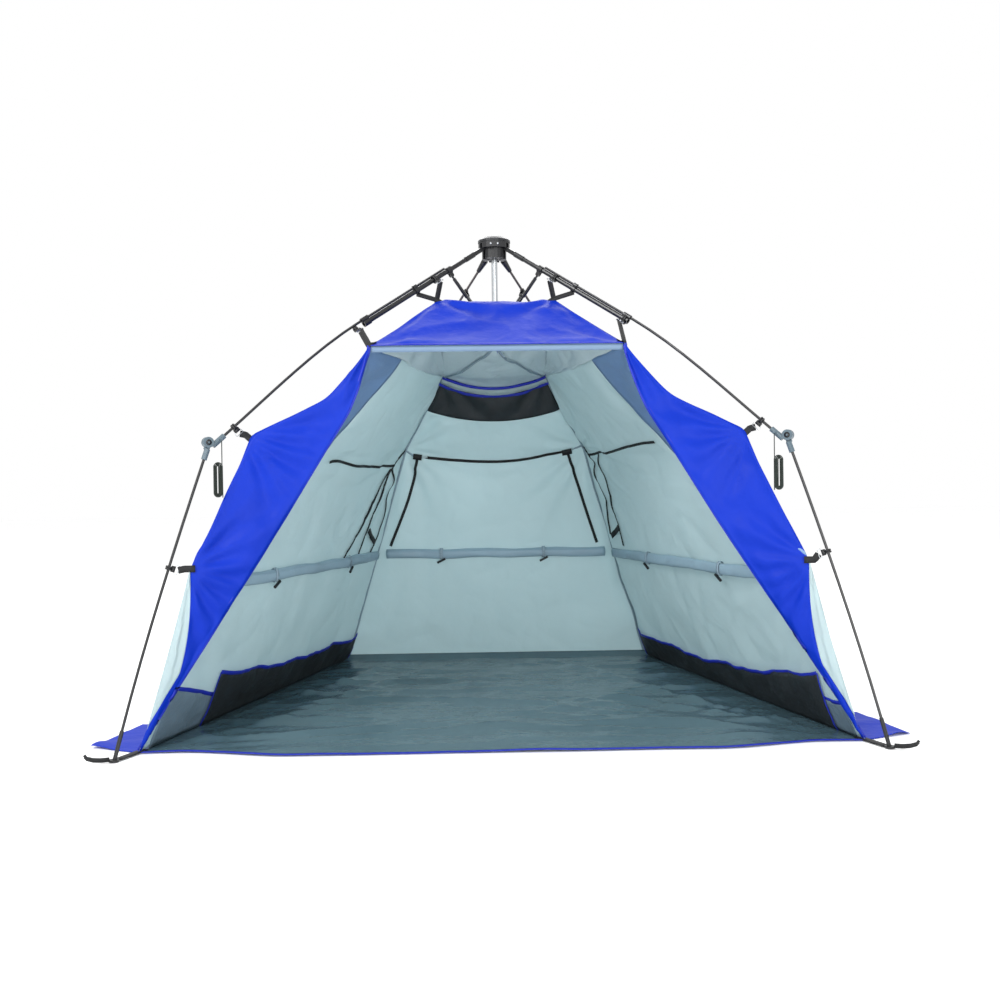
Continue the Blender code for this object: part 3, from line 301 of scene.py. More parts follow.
# Cloth: every panel is a grid, sewn to its neighbours at shared rails
FINE = 2
UPPER, MIDDLE, LOWER = 9 * FINE, 9 * FINE, 11 * FINE
ROOF_EDGE, TOP_EDGE, HEM = 5 * FINE, 28 * FINE, 22 * FINE
RISE, WING_ACROSS, HALF_ROOF = 8 * FINE, 7 * FINE, 6 * FINE


def along(points, counts):
    """The points of a polyline, each span cut into its own count of cells."""
    line = [points[0]]
    for a, b, count in zip(points, points[1:], counts):
        line += [a.lerp(b, k / count) for k in range(1, count + 1)]
    return line


def across(lines, counts):
    """A grid between lines of the same length: rows run along, columns across."""
    grid = []
    for stations in zip(*lines):
        grid.append(along(list(stations), counts))
    return grid


def side_grids(side):
    point = lambda v: mirrored(v, side)
    c, r, we, wl, ff = map(point, (CANOPY, RIDGE, WING_ELBOW, WING_LEG, WALL_FRONT))
    fr, s, wn, k, sh, sb = map(point, (WALL_REAR, SILL, WINDOW, KINK, SHOULDER, SHOULDER_BACK))
    spans = (UPPER, MIDDLE, LOWER)
    opening = [c, c.lerp(ff, 1 / 3), c.lerp(ff, 2 / 3), ff]
    rising = (LOWER, MIDDLE, UPPER)
    word = SIDES[side]
    grids = {
        "wing_" + word: across([along(opening, spans), along([c, we, wl, ff], spans)], (WING_ACROSS,)),
        "shoulder_" + word: across([along(line, rising[1:]) for line in ([wl, we, c], [wl, sb, sh])], (ROOF_EDGE,)),
        "side_wall_" + word: across([along([ff, wl, sb, sh], rising), along([fr, s, wn, k], rising)], (TOP_EDGE,)),
    }
    edge = (ROOF_EDGE, TOP_EDGE)
    middle = [r, r.lerp(k, 0.25), k]
    lines = [along([c, sh, k], edge), along(middle, edge), along([r, VALLEY, k], edge)]
    grids["roof_side_" + word] = across(lines, (RISE, HALF_ROOF))
    return grids


def all_grids():
    grids = {**side_grids(-1), **side_grids(1)}
    left, right = [[mirrored(v, side) for v in (CANOPY, RIDGE)] for side in SIDES]
    spans = (RISE, ROOF_EDGE)
    grids["roof_front"] = across([along([*left, VALLEY], spans), along([*right, VALLEY], spans)], (HEM,))
    left, right = mirrored(KINK, -1), KINK
    grids["roof_back"] = across([along([VALLEY, left], (TOP_EDGE,)), along([VALLEY, right], (TOP_EDGE,))], (HEM,))
    rails = []
    for side in SIDES:
        points = [mirrored(v, side) for v in (WALL_REAR, SILL, WINDOW, KINK)]
        rails.append(along(points, (LOWER, MIDDLE, UPPER)))
    grids["rear_wall"] = across(rails, (HEM,))
    return grids


def key(v):
    return tuple(round(c * 5000) for c in v)


def slack(v):
    """Uneven slack of the cloth, sideways to it, that gravity turns into folds."""
    return noise.noise(v * 5.0) * 0.010 + noise.noise(v * 14.0 + Vector((7, 3, 1))) * 0.003


def beside(v, start, end, reach):
    """Share of the way along a line, and how near it is: 1 on it and 0 at the reach."""
    run = end - start
    share = min(max((v - start).dot(run) / run.length_squared, 0), 1)
    return share, max(0, 1 - (v - start.lerp(end, share)).length / reach)


def cut(v):
    """How the panels are cut away from straight: in metres, the same for both panels of a seam."""
    side = 1 if v.x > 0 else -1
    canopy, elbow, front = [mirrored(p, side) for p in (CANOPY, WING_ELBOW, WALL_FRONT)]
    share, near = beside(v, canopy, elbow, 0.22)
    dip = 0.045 * near * min(share / 0.42, (1 - share) / 0.58)
    share, near = beside(v, canopy, front, 0.30)
    rounded = 0.045 * near * math.sin(math.pi * share**0.62) ** 1.3
    if v.y < 0:
        half = weight = 0
    elif v.z > KINK.z - 0.0001:
        half, weight = KINK.x * v.y / KINK.y, v.y / KINK.y
    else:
        upper = v.z > WINDOW.z
        low, high = (WINDOW, KINK) if upper else (SILL, WINDOW)
        weight = (v.z - low.z) / (high.z - low.z)
        half = low.x + (high.x - low.x) * weight
        weight = 1 if upper else max(0, weight)
    droop = 0.048 * weight * max(0, 1 - (v.x / half) ** 2) if half > 0.001 else 0
    return Vector((-side * rounded, 0, -dip - droop))


def simulate(grids):
    """Hangs all panels as one sewn cloth from its straps, ridge and floor seam; returns where each key went."""
    index, verts, faces = {}, [], set()
    for grid in grids.values():
        for row in grid:
            for v in row:
                if key(v) not in index:
                    index[key(v)] = len(verts)
                    verts.append(v)
        for a, b in zip(grid, grid[1:]):
            for i in range(len(a) - 1):
                ids = [index[key(v)] for v in (a[i], a[i + 1], b[i + 1], b[i])]
                unique = list(dict.fromkeys(ids))
                if len(unique) > 2:
                    faces.add(tuple(unique))
    mesh = bpy.data.meshes.new("sewn_cloth")
    mesh.from_pydata(verts, [], list(faces))
    mesh.update()
    moved = [v + cut(v) + n.normal * slack(v) for v, n in zip(verts, mesh.vertices)]
    held = set()
    for side in SIDES:
        for v in (CANOPY, RIDGE, WING_ELBOW, WING_LEG, WALL_FRONT, WALL_REAR, KINK, WINDOW, VALLEY):
            held.add(index[key(mirrored(v, side))])
    pins = held | {i for i, v in enumerate(verts) if v.z < 0.002}
    for i, v in enumerate(verts):
        canopy, front = [mirrored(p, 1 if v.x > 0 else -1) for p in (CANOPY, WALL_FRONT)]
        ridge = mirrored(RIDGE, -1)
        for start, end in ((canopy, front), (canopy, mirrored(canopy, -1)), (RIDGE, ridge)):
            if beside(v, start, end, 0.001)[1] > 0:
                pins.add(i)
    for i, v in enumerate(moved):
        mesh.vertices[i].co = verts[i] + cut(verts[i]) if i in pins else v
    cloth = linked("sewn_cloth", mesh)
    group = cloth.vertex_groups.new(name="held")
    group.add(sorted(pins), 1.0, "REPLACE")
    modifier = cloth.modifiers.new("Cloth", "CLOTH")
    values = dict(quality=6, mass=0.12, tension_stiffness=30, compression_stiffness=12, shear_stiffness=8,
                  bending_stiffness=0.08, tension_damping=15, compression_damping=15, air_damping=4,
                  vertex_group_mass="held", shrink_min=-0.001)
    for name, value in values.items():
        setattr(modifier.settings, name, value)
    modifier.settings.effector_weights.gravity = 0.30
    frames = 36
    modifier.point_cache.frame_start = 1
    modifier.point_cache.frame_end = frames
    scene = bpy.context.scene
    for number in range(1, frames + 1):
        scene.frame_set(number)
    graph = bpy.context.evaluated_depsgraph_get()
    settled = cloth.evaluated_get(graph).to_mesh()
    places = {spot: settled.vertices[i].co.copy() for spot, i in index.items()}
    scene.frame_set(1)
    bpy.data.objects.remove(cloth)
    return places


# Share of the creases that shows, and how far from a seam they start, in metres
CREASE_STRENGTH, CREASE_FADE = 1.5, 0.035


class Panel:
    """One settled panel: its grid, and places and normals on it."""

    def __init__(self, grid, places):
        self.grid = [[places[key(v)] for v in row] for row in grid]
        middle, centre = len(grid) // 2, len(grid[0]) // 2
        self.width = length_of(self.grid[middle])
        self.length = length_of([row[centre] for row in self.grid])

    def at(self, u, v):
        """u runs across and v along, from 0 to 1."""
        rows, columns = len(self.grid) - 1, len(self.grid[0]) - 1
        y, x = min(max(v, 0), 1) * rows, min(max(u, 0), 1) * columns
        j, i = min(int(y), rows - 1), min(int(x), columns - 1)
        top = self.grid[j][i].lerp(self.grid[j][i + 1], x - i)
        low = self.grid[j + 1][i].lerp(self.grid[j + 1][i + 1], x - i)
        return top.lerp(low, y - j)

    def normal(self, u, v):
        """Towards the inside of the tent."""
        e = 0.01
        wide = self.at(u + e, v) - self.at(u - e, v)
        long = self.at(u, v + e) - self.at(u, v - e)
        n = wide.cross(long).normalized()
        inside = Vector((0, 0.2, 0.55)) - self.at(u, v)
        return n if n.dot(inside) > 0 else -n

    def surface(self, u, v, lift=0.0):
        """On the creased cloth, or lifted off it towards the inside."""
        here, inward = self.at(u, v), self.normal(u, v)
        edge = max(0, min(min(u, 1 - u) * self.width, min(v, 1 - v) * self.length))
        return here + inward * (lift - CREASE_STRENGTH * creases(here) * min(1, edge / CREASE_FADE))

    def line(self, stops, count, lift):
        """Along stops (u, v), rounded where they turn."""
        spots = []
        for k in range(count + 1):
            share = k / count * (len(stops) - 1)
            i = min(int(share), len(stops) - 2)
            a, b, c, d = stops[max(i - 1, 0)], stops[i], stops[i + 1], stops[min(i + 2, len(stops) - 1)]
            t = share - i
            spot = []
            for p, q, r, w in zip(a, b, c, d):
                square, cube = 2 * p - 5 * q + 4 * r - w, 3 * q - p - 3 * r + w
                spot.append(0.5 * (2 * q + (r - p) * t + square * t**2 + cube * t**3))
            spots.append(spot)
        return [self.surface(*spot, lift) for spot in spots], [self.normal(*spot) for spot in spots]

    def part(self, rows, columns, limits):
        """A grid over part of the panel; limits gives v and the two u limits of a row from its share."""
        grid = []
        for j in range(rows + 1):
            v, start, end = limits(j / rows)
            grid.append([self.at(start + (end - start) * i / columns, v) for i in range(columns + 1)])
        return grid


def ridged(p):
    """Narrow ridges of height 0 to 1."""
    return max(0.0, 1 - abs(noise.noise(p)) * 2.6) ** 2


def creases(p):
    """Packing creases, hanging folds and the pull lines that fan out from the straps, in metres."""
    hanging = noise.noise(Vector((p.x * 7.0, p.y * 7.0, p.z * 2.0)))
    packed = ridged(Vector((p.x * 4.5 + 3, p.y * 4.5, p.z * 4.5))) + 0.5 * ridged(p * 10.0)
    total = 0.0045 * hanging + 0.0030 * packed
    for spot in STRAPPED:
        away = p - mirrored(spot, 1 if p.x > 0 else -1)
        reach = away.length
        if 0.01 < reach < 0.42:
            angle = math.atan2(away.z, math.hypot(away.x, away.y) * (1 if away.y > 0 else -1))
            fan = math.cos(angle * 15 + noise.noise(p * 5.0) * 2)
            total += 0.0042 * fan * min(reach / 0.10, (0.42 - reach) / 0.32)
    return total


def panel_mesh(grid, name, mats, thickness=0.0005, level=1, strength=CREASE_STRENGTH, inside=Vector((0, 0.2, 0.5))):
    """Smoothed, creased and closed sheet of a grid; the first material is its outer face's."""
    bm = bmesh.new()
    flat = bm.loops.layers.uv.new("flat")
    made, lines = {}, []
    rows, columns = len(grid) - 1, len(grid[0]) - 1
    for row in grid:
        line = []
        for v in row:
            spot = tuple(round(c * 20000) for c in v)
            if spot not in made:
                made[spot] = bm.verts.new(v)
            line.append(made[spot])
        lines.append(line)
    for j, (a, b) in enumerate(zip(lines, lines[1:])):
        for i in range(columns):
            corners = ((a[i], i, j), (a[i + 1], i + 1, j), (b[i + 1], i + 1, j + 1), (b[i], i, j + 1))
            unique = list(dict.fromkeys(c[0] for c in corners))
            if len(unique) > 2 and not bm.faces.get(unique):
                face = bm.faces.new(unique)
                for loop in face.loops:
                    loop[flat].uv = next((c[1] / columns, c[2] / rows) for c in corners if c[0] == loop.vert)
    bmesh.ops.recalc_face_normals(bm, faces=bm.faces)
    facing = sum(f.normal.dot(f.calc_center_median() - inside) * f.calc_area() for f in bm.faces)
    if facing < 0:
        bmesh.ops.reverse_faces(bm, faces=bm.faces)
    mesh = bpy.data.meshes.new(name)
    bm.to_mesh(mesh)
    bm.free()
    if level:
        mesh = evaluated(mesh, name, "SUBSURF", levels=level, render_levels=level, boundary_smooth="PRESERVE_CORNERS")
    if strength:
        width = length_of(grid[rows // 2])
        length = length_of([row[columns // 2] for row in grid])
        fade = {}
        layer = mesh.uv_layers["flat"].data
        for loop in mesh.loops:
            u, v = layer[loop.index].uv
            edge = min(min(u, 1 - u) * width, min(v, 1 - v) * length)
            fade[loop.vertex_index] = min(1.0, max(0.0, edge) / CREASE_FADE)
        normals = [n.vector.copy() for n in mesh.vertex_normals]
        for k, vertex in enumerate(mesh.vertices):
            vertex.co += normals[k] * creases(vertex.co) * strength * fade.get(k, 0)
    for mat in mats:
        mesh.materials.append(mat)
    return evaluated(mesh, name, "SOLIDIFY", thickness=thickness, offset=0, material_offset=len(mats) - 1)


def evaluated(mesh, name, kind, **settings):
    """The mesh with one modifier applied, shaded smooth."""
    obj = linked(name, mesh)
    modifier = obj.modifiers.new(name, kind)
    for key_name, value in settings.items():
        setattr(modifier, key_name, value)
    graph = bpy.context.evaluated_depsgraph_get()
    final = bpy.data.meshes.new_from_object(obj.evaluated_get(graph))
    bpy.data.objects.remove(obj)
    for polygon in final.polygons:
        polygon.use_smooth = True
    return final


grids = all_grids()
places = simulate(grids)
panels = {name: Panel(grid, places) for name, grid in grids.items()}
total = LOWER + MIDDLE + UPPER
at_leg = (UPPER + MIDDLE) / total
VENT_ROW = LOWER + MIDDLE + round(UPPER * 0.555)
STRAPPED = (CANOPY, WING_ELBOW, WING_LEG, WINDOW, KINK, RIDGE)


def wing_width(v):
    """Below the leg strap the blue cloth narrows to the hem, and a grey foot panel takes the rest of the width."""
    t = (v - at_leg) / (1 - at_leg)
    return min(1.0, max(1 - t * 1.50, 0.14 / max(1 - t, 0.01))) if t > 0 else 1.0


def cloth(name, grid, mats, node=None, rests_on=("top_hub",), slot="blue_cloth"):
    """A hanging panel as an object of its own, which hides the solid of its node."""
    obj = new_object(name, panel_mesh(grid, name, mats))
    soft(obj, nodes=(node,) if node else ())


for name, panel in panels.items():
    if name.startswith("wing"):
        low = at_leg - 0.001
        grid = panel.part(total + 12, 10, lambda share: (share, 0.0, wing_width(share)))
        cloth(name + "_cloth", grid, (BLUE, BLUISH), name)
        below = lambda share: low + (1 - low) * share
        grid = panel.part(2 * LOWER, 6, lambda share: (below(share), wing_width(below(share)), 1.0))
        foot = name.replace("wing", "wing_foot") + "_cloth"
        cloth(foot, grid, (GREY, GREY), rests_on=(name + "_cloth",), slot="grey_cloth")
    elif name.startswith("shoulder"):
        cloth(name + "_cloth", panel.grid, (BLUE, BLUISH), name)
    elif name == "rear_wall":
        cloth(name + "_cloth", panel.grid[: VENT_ROW + 1], (GREY, GREY), name, slot="grey_cloth")
        cloth("vent_net", panel.grid[VENT_ROW:], (NET, NET), rests_on=("rear_wall_cloth",), slot="black_net")
    elif "wall" in name:
        cloth(name + "_cloth", panel.grid, (GREY, GREY), name, slot="grey_cloth")
    else:
        cloth(name + "_cloth", panel.grid, (BLUE, COATING), name)
rear = panels["rear_wall"]


def tape(name, panel, lines, width, mat, thickness=0.0014, lift=0.0030, count=60):
    """Binding, seam tape or zips along lines of a panel."""
    bm = bmesh.new()
    for stops in lines:
        centres, normals = panel.line(stops, count, lift)
        band(bm, centres, width, thickness, normals)
    sink(solid(bm, name, mat))


# Zips of the three windows, the binding of the edges and the tapes of the seams
tape("rear_zips", rear, [
    [(0.075, 0.676), (0.085, 0.60), (0.075, 0.50), (0.055, 0.385)],
    [(0.905, 0.688), (0.915, 0.60), (0.922, 0.50), (0.931, 0.388)],
    [(0.085, 0.678), (0.25, 0.684), (0.42, 0.686), (0.65, 0.688), (0.90, 0.692)],
], 0.012, WEBBING, lift=0.005)
tape("rear_zip_ends", rear, [[(0.055, 0.676), (0.10, 0.677)], [(0.875, 0.692), (0.93, 0.693)]], 0.024, WEBBING,
     thickness=0.004, lift=0.019)
tape("rear_seams", rear, [[(0.0, 0.688), (0.055, 0.676)], [(0.93, 0.693), (1.0, 0.70)], [(0.006, 0), (0.006, 1)],
                          [(0.994, 0), (0.994, 1)]], 0.008, GREY_TAPE)
tape("vent_cover", rear, [[(0.01, 0.988), (0.5, 0.986), (0.99, 0.988)]], 0.030, GREY, lift=0.006)
trims = [[(0.005, low), (0.5, middle), (0.995, low)] for low, middle in ((0.972, 0.968), (0.997, 0.997))]
tape("vent_trims", rear, trims, 0.011, BINDING, lift=0.009)
# Of each side: the top zip, the window's zips and the strap between them
SIDE_ZIPS = {
    "left": [[(0.10, 0.672), (0.169, 0.675), (0.35, 0.662), (0.475, 0.660),
              (0.65, 0.652), (0.85, 0.645), (0.93, 0.66), (1.0, 0.69)],
             [(0.83, 0.635), (0.72, 0.494), (0.65, 0.375)],
             [(0.87, 0.640), (0.80, 0.55), (0.77, 0.469), (0.78, 0.360)],
             [(0.88, 0.645), (0.905, 0.50), (0.90, 0.43), (0.87, 0.378)],
             [(0.775, 0.455), (0.885, 0.405)]],
    "right": [[(1.0, 0.694), (0.90, 0.672), (0.75, 0.683), (0.55, 0.70), (0.287, 0.722), (0.06, 0.725)],
              [(0.89, 0.670), (0.90, 0.60), (0.90, 0.53), (0.93, 0.42)],
              [(0.80, 0.675), (0.81, 0.60), (0.815, 0.531), (0.84, 0.45), (0.856, 0.388)],
              [(0.835, 0.448), (0.92, 0.415)]],
}
for word in SIDES.values():
    wall, wing = panels["side_wall_" + word], panels["wing_" + word]
    tape(f"side_zips_{word}", wall, SIDE_ZIPS[word][:1], 0.010, WEBBING, lift=0.005)
    tape(f"window_zips_{word}", wall, SIDE_ZIPS[word][1:-1], 0.014, WEBBING, lift=0.006)
    tape(f"window_pull_{word}", wall, SIDE_ZIPS[word][-1:], 0.022, WEBBING, lift=0.009)
    tape(f"opening_binding_{word}", wing, [[(0.02, 0.0), (0.015, 0.5), (0.02, 1.0)]], 0.012, BINDING, 0.0016, 0.002, 90)
    tape(f"rear_seam_{word}", wall, [[(0.992, 0.0), (0.992, 0.5), (0.992, 1.0)]], 0.010, GREY_TAPE)
tape("canopy_binding", panels["roof_front"], [[(0.0, 0.012), (0.5, 0.012), (1.0, 0.012)]], 0.012, BINDING, 0.0016, 0.0)
# The canopy's facing: a strip under its front edge, coloured in painted shade
bm = bmesh.new()
hem = [panels["roof_front"].at(k / 60, 0.0) + Vector((0, 0.006, -0.010)) for k in range(61)]
band(bm, hem, 0.020, 0.0012, [Vector((0, -1, 0))] * len(hem))
sink(solid(bm, "canopy_facing", SHADED_TAPE))
seams = [[(0.03, 0.05), (0.02, 0.5), (0.015, 1.0)], [(0.97, 0.05), (0.98, 0.5), (0.985, 1.0)]]
tape("roof_seams", panels["roof_back"], seams, 0.008, GREY_TAPE, lift=0.005)


def floor_height(x, y):
    """Creases of the coated sheet where it lies loose on the ground."""
    fan = math.atan2(y + 0.6, 1.05 - abs(x))
    fold = ridged(Vector((x * 1.4, y * 4.5, 2.0)))
    fine = ridged(Vector((x * 3 + 4, y * 15, 5.0)))
    pulled = ridged(Vector((fan * 5.0, x * 0.8, y * 0.8 + 4)))
    return fold * 0.009 + fine * 0.004 + pulled * 0.007


# Floor sheet between its corners, and the slack of its front edge, in metres
FLOOR_WIDE, FLOOR_DEEP, FRONT_SLACK = 2.10, 1.57, 0.060


def floor_sheet():
    columns, rows = 130, 100
    grid = []
    for j in range(rows + 1):
        v = j / rows
        half = WALL_FRONT.lerp(WALL_REAR, v * 0.992)
        line = []
        for i in range(columns + 1):
            u = i / columns * 2 - 1
            edge = min(1.0, 9 * min(1 - abs(u), 1 - v))
            slack_part = min(max((0.88 - abs(u)) / 0.30, 0), 1)
            bulge = FRONT_SLACK * slack_part**2 * (3 - 2 * slack_part)
            wave = (0.010 * noise.noise(Vector((u * 3.5, 1, 1))) * slack_part - bulge) * (1 - v) ** 8
            lip = 0.022 * max(0, (v - 0.97) / 0.03)
            x, y = half.x * u, half.y + wave
            curl = 0.004 * max(0, noise.noise(Vector((u * 5, 7, 1)))) * (1 - v) ** 30
            line.append(Vector((x, y, 0.0006 + floor_height(x, y) * edge * min(1, 0.2 + 6 * v) + curl + lip)))
        grid.append(line)
    mesh = panel_mesh(grid, "floor", (GROUND,), 0.0006, 0, 0, BELOW)
    obj = new_object("floor_sheet", mesh)
    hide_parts("floor")
    bm = bmesh.new()
    line = [v + Vector((0, -0.001, 0.0014)) for v in grid[0]]
    band(bm, line, 0.014, 0.0016, [UP] * len(line))
    solid(bm, "floor_binding", BINDING)


floor_sheet()


def sand_flap(side):
    word = SIDES[side]
    front, back = mirrored(WALL_FRONT, side), mirrored(WALL_REAR, side)
    tip, far = front + Vector((side * 0.162, 0.067, 0)), front + Vector((side * 0.109, 0.360, 0))
    grid = []
    for j in range(29):
        v = j / 28
        line = []
        for i in range(19):
            u = i / 18
            p = front.lerp(back, v * 0.21).lerp(tip.lerp(far, v), u)
            line.append(Vector((p.x, p.y, 0.0006 + 0.020 * max(0.0, noise.noise(Vector((p.x * 9, p.y * 9, 3.0)))) * u)))
        grid.append(line)
    mesh = panel_mesh(grid, "sand_flap_" + word, (BLUE,), 0.0006, 1, 0, BELOW)
    obj = new_object(f"sand_flap_{word}_cloth", mesh)
    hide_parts("sand_flap_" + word)


# Upper edge of each side's floor tub and of its gear pocket, as (u, v) on the wall
TUB_EDGE = {"left": [(0.03, 0.128), (0.10, 0.112), (0.16, 0.094), (0.22, 0.075)],
            "right": [(0.02, 0.075), (0.05, 0.073), (0.10, 0.078), (0.145, 0.084)]}
POCKET_EDGE = {"left": [(0.205, 0.134), (0.34, 0.118), (0.475, 0.106), (0.66, 0.100), (0.856, 0.094), (0.98, 0.096)],
               "right": [(0.075, 0.131), (0.144, 0.119), (0.306, 0.100), (0.594, 0.083), (0.80, 0.088), (0.975, 0.096)]}


def edge_at(stops, share):
    place = share * (len(stops) - 1)
    i = min(int(place), len(stops) - 2)
    return [a + (b - a) * (place - i) for a, b in zip(stops[i], stops[i + 1])]


def gear_pocket(side):
    """Floor tub at the front of the side wall and a gathered net pocket behind it, both bound in blue."""
    word = SIDES[side]
    wall = panels["side_wall_" + word]
    trims = []
    for kind, stops, columns in (("tub", TUB_EDGE[word], 20), ("pocket", POCKET_EDGE[word], 120)):
        grid = []
        for j in range(9):
            line = []
            for i in range(columns + 1):
                u, high = edge_at(stops, i / columns)
                if kind == "tub":
                    p = wall.surface(u, high * j / 8, 0.003)
                else:
                    cell = (i / columns * 4) % 1.0
                    slack_here = math.sin(math.pi * cell) * (0.5 + 0.5 * noise.noise(Vector((u * 9, side, 0))) + 0.3)
                    gather = 0.0060 * noise.noise(Vector((u * 34, side * 3.0, j * 0.35)))
                    p = wall.surface(u, high * j / 8, 0.008 + (0.010 * slack_here + gather) * j / 8)
                    p -= UP * 0.004 * slack_here * j / 8
                line.append(p)
            grid.append(line)
        trims.append(grid)
        mat, slot, held = (TUB, "ground_sheet", "hung") if kind == "tub" else (NET, "black_net", "gathered")
        mesh = panel_mesh(grid, kind, (mat, mat), 0.0006, 0, 0)
        obj = new_object(f"{kind}_{word}_cloth", mesh)
        node = ("gear_pocket_" + word,) if kind == "pocket" else ()
        soft(obj, nodes=node)
    bm = bmesh.new()
    for grid in trims:
        faces = [wall.normal(0.5, 0.1)] * len(grid[-1])
        band(bm, grid[-1], 0.013, 0.0018, faces)
    columns = len(trims[1][0]) - 1
    for share in (0.0, 1.0):
        column = [row[round(share * columns)] for row in trims[1]]
        band(bm, column, 0.008, 0.0014, [wall.normal(0.5, 0.1)] * len(column))
    sink(solid(bm, f"pocket_binding_{word}", BINDING))


def roll(name, path, node, high=0.021, deep=0.010):
    """Window cover rolled up flat: turns of cloth along the path, a little uneven."""
    turns, points = 5, 20
    bm = bmesh.new()
    lines = []
    for i, centre in enumerate(path):
        run = run_at(path, i)
        side = run.cross(UP).normalized()
        swell = 1 + 0.10 * noise.noise(centre * 7.0)
        line = []
        for k in range(turns * points + 1):
            share = k / (turns * points)
            angle = 2 * math.pi * turns * share + 0.6
            reach = (0.30 + 0.70 * share) * swell * (1 + 0.06 * math.sin(3 * angle + centre.x * 20 + centre.y * 13))
            offset = side * math.cos(angle) * deep + side.cross(run) * math.sin(angle) * high
            line.append(bm.verts.new(centre + offset * reach))
        lines.append(line)
    for a, b in zip(lines, lines[1:]):
        for k in range(len(a) - 1):
            bm.faces.new((a[k], a[k + 1], b[k + 1], b[k]))
    mesh = bpy.data.meshes.new(name)
    bm.to_mesh(mesh)
    bm.free()
    final = evaluated(mesh, name, "SOLIDIFY", thickness=0.0004, offset=0)
    obj = new_object(name, final, ROLLED)
    soft(obj, nodes=(node,))


def toggles(name, path, shares):
    """Webbing loops round the roll, each with a toggle that hangs aslant under it."""
    loops, pegs = bmesh.new(), bmesh.new()
    for share in shares:
        i = round(share * (len(path) - 1))
        run = run_at(path, i)
        side = run.cross(UP).normalized()
        points = ring_points(path[i], side * 0.0125, side.cross(run) * 0.0240, 28)
        band(loops, points + points[:1], 0.013, 0.001, [p - path[i] for p in points + points[:1]])
        inward = side if side.dot(Vector((0, 0.2, 0)) - path[i]) > 0 else -side
        centre = path[i] + inward * 0.009 - UP * 0.030
        lean = (run + UP * 0.5).normalized()
        rings(pegs, [centre + lean * reach for reach in (-0.019, -0.015, 0.015, 0.019)], 10, 0.0050)
    for kind, bm, mat, slot in (("loops", loops, GREY_TAPE, "grey_cloth"), ("pegs", pegs, BLACK, "black_plastic")):
        sink(solid(bm, f"{name}_{kind}", mat))


def roll_path(panel, start, end, height, count=64):
    """Just inside the panel at that height."""
    path = []
    for k in range(count + 1):
        u = start + (end - start) * k / count
        v = 0.0
        for _ in range(12):
            v += (height - panel.at(u, v).z) / 1.25
        n = panel.normal(u, v)
        n = Vector((n.x, n.y, 0)).normalized()
        path.append(panel.surface(u, v) + n * 0.0145 + UP * 0.004 * noise.noise(Vector((u * 5, height, start))))
    return path


for side, word in SIDES.items():
    sand_flap(side)
    gear_pocket(side)
    path = roll_path(panels["side_wall_" + word], 0.10, 0.93, 0.474)
    roll(f"rolled_cover_{word}", path, "rolled_flap_" + word)
    toggles(f"side_ties_{word}", path, (0.23, 0.71 if side < 0 else 0.67))
path = roll_path(rear, 0.05, 0.95, 0.474)
roll("rolled_cover_rear", path, "rolled_flap_rear")
toggles("rear_ties", path, (0.25, 0.72))


# Frame: the solids keep their shape and get their finish, smooth where they are round
FINISH = {"top_hub": BLACK, "hub_cap": DARK_DISC, "lower_hub": BLACK, "guide_rod": BRIGHT, "post_tube": BRIGHT}
KIND = {"arm_tube": BLACK_STEEL, "arm_boot": BLACK, "arm_rod": GLASS_FIBRE, "strut_bracket": BLACK,
        "strut": BLACK_STEEL, "elbow_upper": SLATE, "elbow_lower": SLATE, "leg_rod": GLASS_FIBRE, "foot": BLACK,
        "guy_line": CORD, "guy_hank": CORD}
for name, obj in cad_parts.items():
    mat = FINISH.get(name)
    for corner in CORNERS:
        if name.endswith("_" + corner):
            mat = KIND[name[: -len(corner) - 1]]
            if name.startswith("arm_rod_rear"):
                mat = TAUPE
    if not mat:
        continue
    obj.data.materials.clear()
    obj.data.materials.append(mat)
    for polygon in obj.data.polygons:
        polygon.use_smooth = True
    obj.data.set_sharp_from_angle(angle=math.radians(40))


def direction(slope):
    s = math.radians(slope)
    return Vector((math.cos(s), 0, -math.sin(s)))


def above(slope):
    s = math.radians(slope)
    return Vector((math.sin(s), 0, math.cos(s)))


class Pole:
    """Places on one arm and its leg, in the upright plane that they share; world() turns them to their corner."""

    def __init__(self, corner):
        self.front = corner.startswith("front")
        self.side = 1 if corner.endswith("right") else -1
        angle = math.radians(-32.5 if self.front else 55.4)
        self.turn = Matrix.Rotation(angle if self.side > 0 else math.pi - angle, 3, "Z")
        self.slope = 33.0 if self.front else 34.6
        self.elbow_slope = 41.5 if self.front else 37.5
        self.pivot = Vector((0.036, 0, 1.580 if self.front else 1.562))
        self.elbow = Vector((1.010 if self.front else 0.970, 0, 0.891))
        self.socket_line = self.elbow - above(self.elbow_slope) * 0.017
        self.foot = Vector((self.elbow.x + 0.276, 0, 0))

    def world(self, point):
        return self.turn @ point

    def on_arm(self, reach):
        return self.world(self.pivot + direction(self.slope) * reach)

    def socket(self, back):
        return self.world(self.socket_line - direction(self.elbow_slope) * back)


def rod_point(node, height):
    """On the axis of a rod's solid, at that height."""
    points = sorted((v.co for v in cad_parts[node].data.vertices), key=lambda v: v.z)
    ends = [[points[0]]]
    for a, b in zip(points, points[1:]):
        if b.z - a.z > 0.008:
            ends.append([])
        ends[-1].append(b)
    middles = [sum(ring, Vector()) / len(ring) for ring in ends]
    for a, b in zip(middles, middles[1:]):
        if height <= b.z:
            break
    return a.lerp(b, (height - a.z) / (b.z - a.z))


poles = {corner: Pole(corner) for corner in CORNERS}


